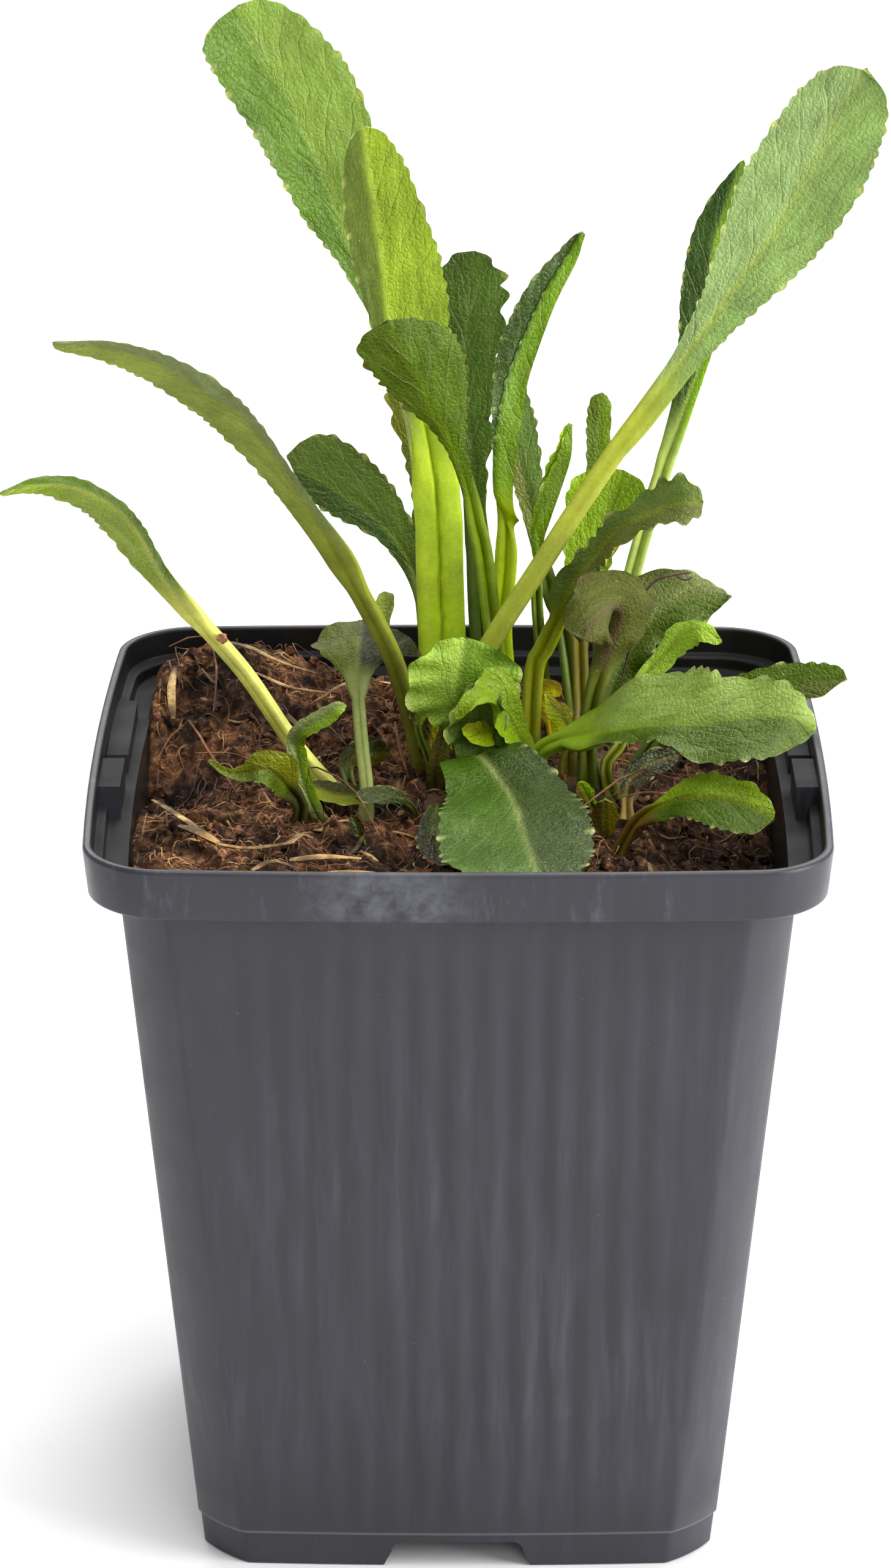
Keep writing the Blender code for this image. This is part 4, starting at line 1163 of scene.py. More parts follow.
leaf(
    "leaf_tip_behind_arch", "leaf_dark", (-5, 20),
    [(-7.8, 20, 100.5), (-8.4, 21, 103), (-9, 22, 104.9), (-9.3, 23, 107.1), (-9.4, 24, 109.1)],
    left=(0.7, 0.7, 0.7, 0.7, 0.7, 1.1, 1.4, 0.9), right=(0.1, 0.1, 0.1, 0.1, 0.1, 0.7, 1.3, 1.4),
    start=0.4, stalk=1.6, tint_and_shade=((155, 174, 69), (129, 141, 56)), stem=(120, 135, 50),
)
leaf(
    "leaf_upright_small", "leaf_green", (15, 34),
    [(16, 35, 98.5), (17, 36, 106.5), (17.5, 37, 114.5), (18, 38, 123), (18.5, 39, 131)],
    left=(0.5, 0.9, 1.2, 1.4, 1.6, 1.8, 1.8, 1.4), right=(2.1, 2, 1.9, 1.8, 1.6, 1.5, 1.4, 1),
    start=0.6, stalk=2.2, fold=(0, 0), tint_and_shade=((96, 120, 6), (123, 155, 6)), stem=(120, 145, 50),
)
leaf(
    "leaf_bright_behind", "leaf_bright", (14, 8.5),
    [(14, 10, 92.5), (15.5, 12, 96), (15.5, 16, 101), (15.5, 20, 105), (16.5, 23.5, 109.5),
     (18, 26, 115.5), (19.5, 27, 120), (21, 28, 124)],
    left=(2.4, 3, 3.7, 4.5, 5.3, 6, 5.4, 2.7), right=(1.6, 1.8, 2.1, 2.4, 3.1, 3.5, 3.7, 3.6),
    start=0.55, stalk=2.2, tint_and_shade=((141, 176, 18), (111, 148, 2)), stem=(111, 101, 14),
)
leaf(
    "leaf_behind_tall_right", "leaf_dark", (17.5, 27),
    [(20.5, 31, 99), (22.5, 33, 108.5), (25.5, 35, 119), (29, 36, 129.5), (31.5, 37, 137),
     (32, 37, 145), (33, 37, 152.5), (36, 37, 162)],
    left=(1.4, 1.9, 3.5, 3.8, 3.7, 3.3, 2.2, 0.9), right=(1.1, 1, 0.8, 1.5, 2.1, 2, 1.6, 0.6),
    start=0.5, tint_and_shade=((26, 64, 2), (138, 194, 18)), stem=(172, 192, 88), teeth=0.25,
)
leaf(
    "leaf_dark_behind_fold", "leaf_dark", (14.5, 22),
    [(15, 22, 92.5), (13.5, 24, 104), (12, 25, 108), (10, 26, 115.5), (8.5, 26, 123), (7, 26, 130),
     (6.5, 26, 137)],
    left=(0.9, 1, 1.3, 1.7, 2.1, 2.2, 1.8, 1), right=(0.6, 1, 1.6, 2.3, 2.9, 3.1, 2.4, 1.7),
    start=0.5, tint_and_shade=((122, 127, 57), (109, 138, 65)), stem=(90, 110, 30),
)

# %% [markdown]
# ## The tall leaves of the middle shoot
#
# A bright leaf on a broad grooved stalk stands in the middle. Beside it one leaf nods forward and
# shows its under side, one is folded along its midrib like a closed book, so its outside faces
# out and its margin draws a toothed line, and one leans far to the right on a long pale stalk.

# %% Middle leaves
leaf(
    "leaf_tall_centre", "leaf_bright", (-1.5, 17.5),
    [(-2.3, 18, 113.3), (-2.4, 18, 119.7), (-2.7, 18, 123), (-3, 18, 126.4), (-4.1, 18, 132.3),
     (-5.8, 18, 138.3), (-7.2, 18, 142), (-8.3, 18, 146), (-8.8, 18.4, 149.6), (-9.2, 18.8, 153.2),
     (-9.8, 19.2, 157.3), (-10.4, 19.6, 161.4), (-11, 20.1, 165.7), (-11.5, 21, 170)],
    left=(2.9, 3.2, 3.6, 4.6, 6.6, 6.9, 6, 4.1), right=(3.3, 4.5, 6.6, 7.8, 7.3, 6, 4.7, 3.1),
    start=0.5, stalk=6.3, fold=(55, 5), tint_and_shade=((80, 99, 24), (181, 207, 64)), stem=(198, 220, 46),
    deep=2.2, curl=(0, 15), groove=0.45, hollow=0.15,
)
leaf(
    "leaf_nodding_centre", "leaf_dark", (6.5, 15),
    [(3.5, 15.5, 114.1), (2.3, 14.5, 120.8), (1.1, 13, 126.3), (-0.3, 11, 130.8), (-2, 8, 135.8),
     (-3.7, 5, 140.1), (-5.6, 2, 145.2), (-7.3, 0, 148.9), (-8.4, -1.5, 151.5)],
    left=(0.6, 0.7, 0.8, 1.6, 3.5, 5, 5.5, 4.8), right=(1.2, 1.1, 1.8, 4, 6, 6.7, 5.5, 2.4),
    start=0.5, stalk=2.6, fold=(-15, 0), tint_and_shade=((74, 96, 2), (74, 103, 2)), stem=(119, 145, 2),
    under=(15, 22, 2), tip_colour=(104, 66, 36), curl=(-10, -12), teeth=0.7, pitch=1.8,
)
leaf(
    "leaf_folded_centre", "leaf_green", (7.5, 20.5),
    [(5.5, 20, 103.5), (6, 20, 114), (6.5, 20, 124), (7.5, 20, 131.5), (8.5, 21, 137.5),
     (10, 21, 142.5), (12, 21, 148), (14.5, 22, 153), (15.5, 22, 156.5)],
    left=(1.3, 2.3, 3.7, 4.6, 5.3, 4.6, 3.3, 2), right=(1.6, 2.6, 3.3, 3, 2.5, 2.1, 1.6, 1.1),
    stalk=3, fold=(20, 150), tint_and_shade=((34, 65, 2), (39, 86, 2)), stem=(183, 204, 5),
    under=(104, 144, 2), curl=(12, 8), teeth=0.3, pitch=1.6, tip_colour=(150, 170, 84),
)
leaf(
    "leaf_folded_small", "leaf_green", (12, 27),
    [(10.5, 24, 102), (10, 22, 110), (10.5, 21, 116.5), (11.5, 20, 120), (13, 20, 124.5),
     (14, 20, 128.5), (14, 20, 132.5)],
    left=(0.2, 0.5, 1.1, 2, 2.9, 3, 1.8, 1.4), right=(0.6, 1.3, 2.3, 3, 2.9, 2.2, 1.5, 0.9),
    start=0.55, stalk=1.6, fold=(25, 145), tint_and_shade=((139, 180, 2), (131, 176, 2)), stem=(120, 140, 40),
    under=(111, 145, 2),
)
leaf(
    "leaf_tall_right", "leaf_green", (2.5, 11),
    [(2, 11.5, 101.5), (4.5, 12, 107), (10, 13.5, 115.5), (16, 16, 124.5), (22, 18, 133),
     (26.5, 19, 139), (30.5, 20, 144.5), (35, 22, 150.5), (40, 24, 157.5), (44, 26, 164.5),
     (50, 28, 175.5)],
    left=(1.2, 1.4, 2.8, 5.2, 7.4, 7, 6.2, 4.6), right=(1.9, 2, 3.3, 5.2, 6.6, 7.3, 6.4, 5),
    start=0.52, stalk=2.7, tint_and_shade=((132, 159, 93), (137, 168, 89)), stem=(169, 178, 51), hollow=0.15,
    groove=0, wave=0.3, curl=(8, 10),
)

# %% [markdown]
# ## The long leaves that arch out to the left
#
# Two long leaves arch over the rim and turn their under sides out. For them the face of the blade
# points down and away, so the keel of the midrib comes to the front. A curled leaf folds over its
# own stalk, and small ones stand by themselves in the medium.

# %% Left leaves
leaf(
    "leaf_arching_left", "leaf_olive", (-4, 10.5),
    [(-6, 10.5, 97), (-8.5, 9.5, 105.5), (-12, 7.5, 113.5), (-15.5, 5, 121), (-18, 3, 126),
     (-22, 1, 133), (-26, -1, 139), (-30.5, -4, 143.5), (-36, -6, 147.5), (-42, -8, 150),
     (-48, -10, 151)],
    left=(2, 2.5, 3.2, 4.4, 4, 3.5, 2.3, 1.3), right=(2.2, 1.4, 1.3, 1.9, 3.2, 2.5, 1.7, 0.8),
    start=0.4, stalk=2.7, fold=(0, 0), face=(-0.2, -0.75, -0.45),
    tint_and_shade=((143, 157, 67), (132, 144, 90)), stem=(150, 158, 52), under=(104, 128, 52),
    foot=(0.72, 0.6, 0.6), hollow=0.2, groove=0.1,
)
leaf(
    "leaf_low_arching_left", "leaf_green", (-14.5, 1.5),
    [(-20.5, 0, 97), (-26, -2, 106.5), (-31, -5, 114), (-35.5, -9, 121.5), (-38.5, -12, 128.5),
     (-41.5, -15, 133), (-46, -18, 136), (-50, -21, 137), (-53.5, -23, 136.5)],
    left=(1.6, 2, 3.5, 4.1, 3.6, 2.9, 1.4, 0.5), right=(1.4, 1.5, 1.3, 1.6, 1.8, 2.4, 1.8, 0.7),
    start=0.5, stalk=2.1, fold=(0, 0), face=(-0.2, -0.75, -0.35), in_soil=True,
    tint_and_shade=((132, 154, 30), (103, 133, 37)), stem=(226, 226, 119), under=(107, 130, 4), hollow=0.1,
    groove=0.1,
)
leaf(
    "leaf_curled_olive", "leaf_olive", (-11.5, -7),
    [(-11.2, -6, 93), (-11.9, 0, 97), (-12.4, 5, 100.9), (-12.6, 9, 104), (-12.6, 12.5, 105.3),
     (-12.4, 16.5, 106), (-12.2, 21, 106.3)],
    left=(1.5, 2.4, 4.6, 6.2, 5.8, 4.6, 3.2, 2), right=(1.5, 2.4, 5.2, 8.2, 7.6, 5.2, 3.2, 1.6),
    start=0.6, stalk=1.8, fold=(0, 0), face=(0, -0.45, 0.9), in_soil=True,
    tint_and_shade=((77, 86, 2), (19, 23, 2)), stem=(128, 138, 72), under=(110, 96, 40), hollow=0.1,
    groove=0.1, reach=0.03, wave=0.6, waves=2, curl=(-8, -12), tip_colour=(110, 70, 48),
)
leaf(
    "leaf_hooked_left", "leaf_dark", (-16.5, -7),
    [(-18.3, -9, 93.3), (-19.2, -9.5, 96.5), (-19.6, -10, 99.2), (-19.9, -10.5, 101.2),
     (-19.3, -11.5, 103), (-17.7, -12, 104.3), (-16, -12.5, 105.5), (-14.7, -13, 106.6),
     (-13.5, -13, 106.9)],
    left=(0.8, 1, 1.1, 1.1, 1, 1.1, 1, 0.7), right=(1.1, 1.2, 1.3, 1.3, 1.3, 1.3, 1.4, 1),
    start=0.15, stalk=2, fold=(8, 8), in_soil=True, tint_and_shade=((161, 174, 111), (131, 168, 17)),
    stem=(100, 118, 50), reach=0.03, hollow=0.1,
)
leaf(
    "leaf_low_left_small", "leaf_green", (-20, -9.5),
    [(-19.2, -10.1, 92.7), (-20.8, -11.2, 95.6), (-22.4, -14.8, 98.8), (-24.1, -15.3, 99.5),
     (-25.8, -14.8, 98.8), (-27.8, -14.8, 98.8), (-30.1, -16, 100.8)],
    left=(1.6, 1.7, 1.9, 2.2, 1.4, 0.7, 0.4, 0.3), right=(1.2, 2.2, 3.2, 3, 1.4, 0.7, 0.5, 0.5),
    start=0.3, stalk=2, fold=(30, 10), in_soil=True, tint_and_shade=((81, 102, 2), (136, 143, 16)),
    stem=(55, 54, 2),
)

# %% [markdown]
# ## The low leaves in front of the middle
#
# A round crinkled leaf, a small bright one whose margin is still rolled, and a broad dark leaf
# that lies nearly flat towards the front lip. The crinkles come from a wave that grows towards
# the margin.

# %% Front leaves
leaf(
    "leaf_crinkled_centre", "leaf_green", (2, 6),
    [(0, 6, 95), (0, 5, 98), (0, 4, 102.5), (0.5, 4, 106.5), (1, 5, 109.5)],
    left=(0.6, 1.4, 3.4, 6.2, 7, 6.9, 4, 2.3), right=(3, 3.6, 4.9, 6.3, 7.3, 7.9, 7.2, 2.8),
    start=0.3, stalk=2, fold=(10, 10), tint_and_shade=((175, 211, 73), (126, 168, 39)), stem=(120, 140, 50),
    wave=0.55, waves=6, curl=(12, 10), thick=0.3, teeth=1.2, pitch=2.3,
)
leaf(
    "leaf_bright_centre", "leaf_bright", (10.5, 5),
    [(8.7, 3, 94.3), (7.6, 1.5, 97.5), (5.9, 0, 100.8), (4.3, -1.5, 103.6), (3, -3.5, 105),
     (1.2, -5, 104.5), (-0.3, -5.5, 102.4)],
    left=(1.2, 2, 3, 3.4, 2.8, 1.7, 1.1, 0.7), right=(1.6, 1.5, 2.4, 3.7, 4.4, 1.2, 1, 0.6),
    start=0.3, stalk=2, fold=(5, 15), face=(0.1, -0.62, 0.78), tint_and_shade=((136, 171, 2), (134, 164, 25)),
    stem=(130, 155, 40), curl=(10, 20),
)
leaf(
    "leaf_olive_centre", "leaf_olive", (6, 3),
    [(5, 2, 97.5), (3, 0, 98.5), (0.5, -1, 99.5)],
    left=(0.8, 1, 1.5, 1.7, 1.8, 1.7, 1.3, 0.8), start=0.2, stalk=1.6, fold=(0, 0),
    tint_and_shade=((195, 226, 4), (173, 177, 23)), stem=(110, 120, 30),
)
leaf(
    "leaf_broad_front", "leaf_dark", (2.5, 2.5),
    [(2.2, -2, 96.5), (5.3, -9, 95.5), (7, -18, 95.5), (8, -27, 95), (9.1, -36, 95),
     (9.7, -41, 93)],
    left=(3.2, 5.6, 7.2, 8.2, 8.4, 8, 6.6, 4.2), right=(3.2, 5.6, 7.6, 9.2, 10.2, 10.6, 9.6, 6.5),
    start=0.1, stalk=2.5, face=(0, -0.35, 0.94), tint_and_shade=((33, 59, 2), (57, 91, 2)),
    stem=(112, 128, 56), wave=0.6, waves=2.5, curl=(-8, -10), teeth=0.6, pitch=2.3,
    tip_colour=(196, 204, 124), rib=(138, 150, 84),
)
leaf(
    "leaf_behind_front", "leaf_green", (-2, -1),
    [(-3, -7, 91.5), (-3, -15, 91), (-1, -25, 91)],
    left=(0.8, 1.2, 1.9, 2.3, 2.5, 2.4, 1.9, 1.2), start=0.3, stalk=1.6, face=(-0.2, -0.5, 0.85),
    tint_and_shade=((54, 61, 2), (2, 2, 2)), stem=(96, 120, 38),
)
leaf(
    "sheath_olive_centre", "leaf_olive", (-1, 8.5),
    [(-3, 8.5, 93), (-3, 9, 95), (-3, 9, 98)],
    left=(1.5, 1.3, 1.6, 1.9, 2, 1.8, 1.4, 0.9), start=0.2, stalk=3, fold=(10, 10),
    tint_and_shade=((60, 32, 2), (226, 226, 2)), stem=(110, 120, 40),
)
leaf(
    "petiole_thin", "leaf_green", (-2.5, 6),
    [(-4, 6.5, 93.5), (-5, 6.5, 96.5), (-5, 7, 99), (-5, 7.5, 102)],
    left=(0.5, 0.6, 1, 1.2, 1.2, 1.1, 0.8, 0.4), start=0.6, stalk=1,
    tint_and_shade=((52, 40, 2), (116, 138, 2)), stem=(110, 130, 40),
)

# %% [markdown]
# ## The leaves that lean and lie to the right
#
# These leaves bend to the right wall: a dark one that arches, an old one with a purple flush that
# has curled over, a broad pale-veined one and a bright one close to the medium.

# %% Right leaves
leaf(
    "leaf_dark_arching_right", "leaf_dark", (9, 13.5),
    [(9.6, 15.7, 101.1), (10.9, 16, 104.4), (12.5, 15.7, 108.2), (13.5, 15, 111.5),
     (15.1, 14.3, 114.3), (16.8, 13.2, 117.1), (18.3, 12, 119.5), (20.2, 10.3, 122.1),
     (22.3, 9, 123.8), (25.1, 7.4, 125.5), (27.8, 6, 126.7), (30.2, 6, 126.7)],
    left=(0.9, 2.3, 2.2, 1.9, 1.8, 3.1, 3.5, 2.7), right=(1.2, 1.2, 1.8, 2.8, 2.8, 2.6, 3.5, 3.4),
    start=0.4, stalk=2.7, fold=(15, 10), face=(-0.15, -0.7, 0.6),
    tint_and_shade=((94, 118, 47), (95, 104, 44)), stem=(150, 158, 2), under=(224, 189, 20),
    foot=(0.8, 0.74, 0.8), wave=0.5, curl=(15, 10), teeth=1.5, pitch=3.2,
)
leaf(
    "leaf_purple_curled", "leaf_olive", (16.5, 5.5),
    [(16.2, 7, 95), (16.9, 7.5, 100.5), (18.2, 8, 105), (19.4, 8, 108.4), (20.2, 7.5, 111.3),
     (19.6, 6, 113.1), (17.9, 3.5, 113.4), (16.2, 1.5, 112.2), (15.4, 0.5, 110.6)],
    left=(1.5, 2.2, 3.4, 4.6, 5.2, 5, 4.2, 3), right=(1.5, 2.6, 3.9, 5, 5.4, 5, 4.2, 3), stalk=2.6,
    fold=(-20, -20), tint_and_shade=((88, 88, 34), (82, 88, 28)), stem=(89, 100, 2), under=(142, 116, 92),
    curl=(-30, -30), reach=0.03, wave=0.8, waves=4, teeth=0.6, tip_colour=(112, 70, 70),
    rib=(104, 72, 66),
)
leaf(
    "leaf_dark_broad_right", "leaf_dark", (19, 21),
    [(19.5, 22, 95.5), (22, 23, 101.5), (25.5, 24, 106), (29.5, 25, 108), (34.5, 26, 108)],
    left=(1.3, 2.8, 5.2, 6.3, 6, 4.2, 2.2, 1), right=(1.4, 1.8, 2.3, 2.7, 3.6, 4, 3.7, 1.4),
    start=0.2, stalk=2.2, tint_and_shade=((102, 113, 58), (61, 83, 4)), stem=(90, 110, 40), wave=0.8,
)
leaf(
    "leaf_bright_narrow_right", "leaf_bright", (19.5, 3.5),
    [(18.5, 6, 92), (20.5, 9, 94), (22, 12, 98), (23, 13, 101), (26, 13, 104.5), (28.5, 12, 107.5),
     (30.5, 11, 108.5), (33, 10, 107)],
    left=(0.9, 0.9, 1.1, 1.4, 2.1, 1, 0.9, 0.4), right=(1.5, 1.6, 1.9, 1.6, 2, 2.2, 1.4, 0.8),
    start=0.5, stalk=1.7, fold=(0, 0), tint_and_shade=((186, 222, 84), (180, 216, 72)), stem=(124, 131, 2),
)
leaf(
    "leaf_broad_right", "leaf_green", (9.5, 10),
    [(10, 8, 93), (12.5, 6, 95.5), (16.5, 3, 97.5), (23, -2, 100.5), (29.5, -7, 102.5),
     (34.5, -9, 104), (40, -11, 105), (43.5, -12, 103.5)],
    left=(3.8, 6.7, 8.2, 8.2, 6.8, 5.3, 4, 1.6), right=(2.7, 2.8, 3.2, 4.5, 7.1, 8.4, 7.9, 4.4),
    start=0.3, stalk=2.8, face=(0, -0.6, 0.8), tint_and_shade=((143, 169, 76), (72, 98, 2)),
    stem=(146, 176, 29), under=(212, 226, 81), wave=0.6, curl=(5, 12), teeth=0.8,
    tip_colour=(208, 214, 140), pitch=2.4, hollow=0.3,
)
leaf(
    "leaf_dark_far_right", "leaf_dark", (22, 14),
    [(27.5, 15, 96), (32.5, 14, 98.5), (37, 12, 100.5), (42.5, 10, 101.5), (48.5, 8, 103)],
    left=(1.4, 1.6, 2, 2.6, 3.2, 2.9, 2.4, 1.8), right=(1.4, 1.4, 1.8, 1.9, 1.9, 2.6, 2, 0.4),
    start=0.4, stalk=1.8, face=(0, -0.7, 0.7), tint_and_shade=((70, 96, 3), (70, 84, 13)), stem=(90, 110, 40),
)
leaf(
    "leaf_bright_low_right", "leaf_bright", (19, -11),
    [(22, -11, 91.5), (25.5, -12, 94), (29, -14, 95.5), (33.5, -17, 96), (38, -20, 95)],
    left=(0.2, 1.3, 3, 3.8, 3.3, 3.2, 2.2, 1.3), right=(1.9, 2.7, 3, 3.8, 4.6, 4.9, 4.2, 3.6),
    start=0.3, stalk=1.8, face=(0, -0.6, 0.8), in_soil=True, tint_and_shade=((132, 165, 2), (69, 98, 2)),
    stem=(102, 80, 3),
)
leaf(
    "leaf_grey_twisted", "leaf_green", (21, -3),
    [(21, -1, 90.5), (21.5, 1, 92), (24, 3, 93.5), (27.5, 5, 94)],
    left=(0.8, 1, 1.4, 1.7, 1.7, 1.6, 1.3, 0.8), start=0.2, stalk=1.6, tint_and_shade=((6, 19, 2), (7, 6, 2)),
    stem=(158, 131, 64),
)

# %% [markdown]
# ## Seedling-sized leaves near the medium
#
# The last ones are only a few millimetres long. They fill the gaps between the stalks, where a
# clump without them would look thin.

# %% Small leaves
leaf(
    "leaf_flat_on_soil", "leaf_olive", (-5.5, 0.5),
    [(-8, -1.5, 91.5), (-12, -3, 91.5), (-15.5, -3.5, 92), (-19, -3, 93)],
    left=(0.8, 1, 1.5, 1.7, 1.8, 1.7, 1.3, 0.8), start=0.3, stalk=1.6, face=(0, -0.5, 0.85),
    tint_and_shade=((124, 130, 2), (45, 41, 2)), stem=(110, 110, 30),
)
leaf(
    "leaf_dark_on_soil", "leaf_dark", (-5, -6.5),
    [(-5.5, -7.5, 91.5), (-8, -8.5, 93.5), (-12.5, -10, 94)],
    left=(0.5, 0.8, 1.2, 1.4, 1.5, 1.4, 1.1, 0.7), start=0.35, stalk=1, face=(0, -0.5, 0.85),
    tint_and_shade=((7, 30, 2), (29, 38, 2)), stem=(80, 90, 30),
)
leaf(
    "leaf_low_background", "leaf_green", (-13, 5),
    [(-14, 8, 91.5), (-11.5, 11, 92), (-8.5, 14, 91)],
    left=(0.8, 1, 1.6, 1.9, 2, 1.8, 1.2, 0.6), start=0.2, stalk=1.5, in_soil=True,
    tint_and_shade=((48, 47, 2), (89, 75, 2)), stem=(90, 110, 40),
)
leaf(
    "sprout_tiny", "leaf_green", (-11.5, -14),
    [(-12.5, -14, 92), (-13, -14, 93)],
    left=(0.5, 0.5, 0.7, 0.9, 0.9, 0.8, 0.6, 0.3), start=0.2, stalk=1, in_soil=True,
    tint_and_shade=((31, 21, 2), (52, 33, 2)), stem=(110, 140, 40),
)
leaf(
    "leaf_dark_tuft", "leaf_dark", (18.5, -8),
    [(18, -9, 90.5), (18, -10, 93.5)],
    left=(0.8, 0.7, 1.2, 1.5, 1.8, 1.8, 1.5, 1.1), start=0.2, stalk=1.6, fold=(10, 10),
    in_soil=True, tint_and_shade=((65, 50, 2), (158, 153, 19)), stem=(80, 95, 30),
)
leaf(
    "leaf_curled_tuft", "leaf_dark", (17, 0),
    [(16, -1.5, 91), (15, -2.5, 93)],
    left=(0.7, 0.6, 0.8, 1, 1.1, 1, 0.8, 0.5), start=0.2, stalk=1.3, fold=(10, 10),
    tint_and_shade=((116, 95, 18), (173, 226, 21)), stem=(80, 95, 30),
)
leaf(
    "leaf_yellow_tuft", "leaf_bright", (15.5, -8),
    [(14.5, -9, 91.5), (14, -9, 93)],
    left=(0.7, 0.6, 0.8, 1, 1.1, 1, 0.8, 0.5), start=0.2, stalk=1.3, fold=(10, 10), in_soil=True,
    tint_and_shade=((138, 149, 3), (142, 124, 5)), stem=(150, 160, 50),
)
leaf(
    "leaf_withered_orange", "leaf_withered", (13, 18.5),
    [(11.5, 18.5, 94.5), (10.5, 18.5, 97), (12, 18.5, 98), (13, 18, 97)],
    left=(0.8, 0.7, 1.1, 1.3, 1.4, 1.3, 1, 0.6), start=0.3, stalk=1.6, fold=(0, 0),
    tint_and_shade=((167, 142, 15), (226, 226, 2)), stem=(226, 198, 2),
)
leaf(
    "leaf_pointed_small", "leaf_green", (15, 15.5),
    [(13.5, 15.5, 94.5), (12, 15.5, 96.5), (11, 15.5, 98.5)],
    left=(1.2, 1.7, 2, 2, 1.7, 1.2, 0.7, 0.3), start=0.1, fold=(10, 10),
    tint_and_shade=((212, 226, 2), (226, 220, 77)), stem=(43, 56, 2),
)

# %% [markdown]
# ## Fibres, crumbs and chips
#
# Peat is full of fine roots and sedge fibres, and they are what makes it look like peat. Hair
# particles would be the usual way, but the model has to be plain mesh, so one thin tube is
# modelled, and each fibre is a copy of it that is bent along its own line and laid on the medium.
# The tube has only five sides, because there are many hundreds. Crumbs and chips are made the same
# way from a ball and a slender rod that is flattened.

# %% A thread, a ball and a rod to copy


def template(name, rings=0):
    """The mesh of the active object, kept for copying, cut into rings along its length."""
    piece = bpy.context.object
    if rings:
        edit_all(piece)
        for ring in range(1, rings):
            bpy.ops.mesh.select_all(action="SELECT")
            bpy.ops.mesh.bisect(plane_co=(0, 0, ring / rings - 0.5), plane_no=(0, 0, 1))
        bpy.ops.mesh.select_all(action="SELECT")
        bpy.ops.mesh.normals_make_consistent(inside=False)
        bpy.ops.object.mode_set(mode="OBJECT")
    mesh = piece.data
    mesh.name = name
    bpy.data.objects.remove(piece, do_unlink=True)
    points = np.empty(len(mesh.vertices) * 3, dtype=np.float32)
    mesh.vertices.foreach_get("co", points)
    return mesh, points.reshape(-1, 3)


deselect_all()
bpy.ops.mesh.primitive_cylinder_add(vertices=5, radius=1, depth=1)
THREAD = template("thread", rings=7)
deselect_all()
bpy.ops.mesh.primitive_ico_sphere_add(subdivisions=2, radius=1)
CRUMB = template("crumb")
deselect_all()
bpy.ops.mesh.primitive_cylinder_add(vertices=8, radius=1, depth=1)
CHIP = template("chip", rings=5)
print("points each:", [len(made[0].vertices) for made in (THREAD, CRUMB, CHIP)])

# %% Copies that are placed, bent and joined


def copied(name, mesh, points):
    """A copy of a mesh with its points moved to new places."""
    piece = bpy.data.objects.new(name, mesh.copy())
    bpy.context.scene.collection.objects.link(piece)
    place_points(piece, points)
    return piece


def bent_copy(name, kind, line, width, thickness, taper=0.5, roll=0.0):
    """A copy of the thread or the rod along a curve; taper 1 makes pointed ends."""
    mesh, unit_points = kind
    fine, reached = curve_through(line)
    share = unit_points[:, 2] + 0.5
    ahead = along_curve(fine, reached, share + 0.08) - along_curve(fine, reached, share - 0.08)
    tangent = unit(ahead)
    side = unit(np.cross(tangent, (math.sin(roll), 0.1, math.cos(roll))))
    normal = np.cross(side, tangent)
    fade = (1 - taper * np.abs(2 * share - 1) ** 2.5)[:, None] / 2
    place = along_curve(fine, reached, share) + side * (unit_points[:, :1] * width * fade)
    return copied(name, mesh, place + normal * (unit_points[:, 1:2] * thickness * fade))


def join_all(pieces, name):
    deselect_all()
    for piece in pieces:
        piece.select_set(True)
    bpy.context.view_layer.objects.active = pieces[0]
    bpy.ops.object.join()
    pieces[0].name = name
    pieces[0].data.name = name
    return pieces[0]


def finish_loose(piece, material):
    """For a piece that stands for no solid of its own."""
    smooth(piece, 50)
    finish_piece(piece, material)


print("loose pieces are smoothed up to 50 degrees")

# %% Fibres on the medium
STREWN_HALF = 39  # threads and crumbs are strewn over a square of twice this width
THREAD_POINTS = 4


def resting(x, y, lift=0.0):
    """A point on the medium, kept away from the wall."""
    reach = inner_half(min(soil_form(x, y), 91)) - 1.4
    scale = min(1.0, reach / max(abs(x), abs(y), 1e-6))
    corner = (abs(x) + abs(y)) * scale
    scale *= min(1.0, (2 * reach - CORNER_CUT) / max(corner, 1e-6))
    x, y = x * scale, y * scale
    return x, y, soil_height(x, y) + lift


def strew_threads(name, count, longest, width, seed, rise, material):
    """Lays bent threads on the medium, some of them lifted in the middle like loose roots."""
    rng = np.random.default_rng(seed)
    made = []
    for _ in range(count):
        x, y = rng.uniform(-STREWN_HALF, STREWN_HALF), rng.uniform(-STREWN_HALF, STREWN_HALF)
        heading = rng.uniform(0, 2 * math.pi)
        bend = rng.normal(0, 0.75)
        stride = longest * rng.uniform(0.25, 1.0) ** 1.3 / THREAD_POINTS
        arch = rise * rng.uniform(0, 1) ** 2
        line = []
        for step in range(THREAD_POINTS):
            share = step / (THREAD_POINTS - 1)
            lift = 0.1 + arch * math.sin(math.pi * min(1.0, share * rng.uniform(0.8, 1.2)))
            line.append(resting(x, y, lift))
            x += stride * math.cos(heading)
            y += stride * math.sin(heading)
            heading += bend + rng.normal(0, 0.35)
        thick = width * rng.uniform(0.6, 1.3)
        made.append(bent_copy("thread", THREAD, line, thick, thick * 0.8, 0.7))
    finish_loose(join_all(made, name), material)


strew_threads("fibres_brown", 950, 8.0, 0.2, 3, 1.6, fibre_brown)
strew_threads("fibres_rust", 600, 5.0, 0.24, 7, 1.0, fibre_copper)
strew_threads("fibres_pale", 420, 6.0, 0.2, 11, 1.4, fibre_pale)
strew_threads("roots_fine", 60, 20.0, 0.14, 17, 4.0, fibre_brown)

# %% Crumbs of peat and bark


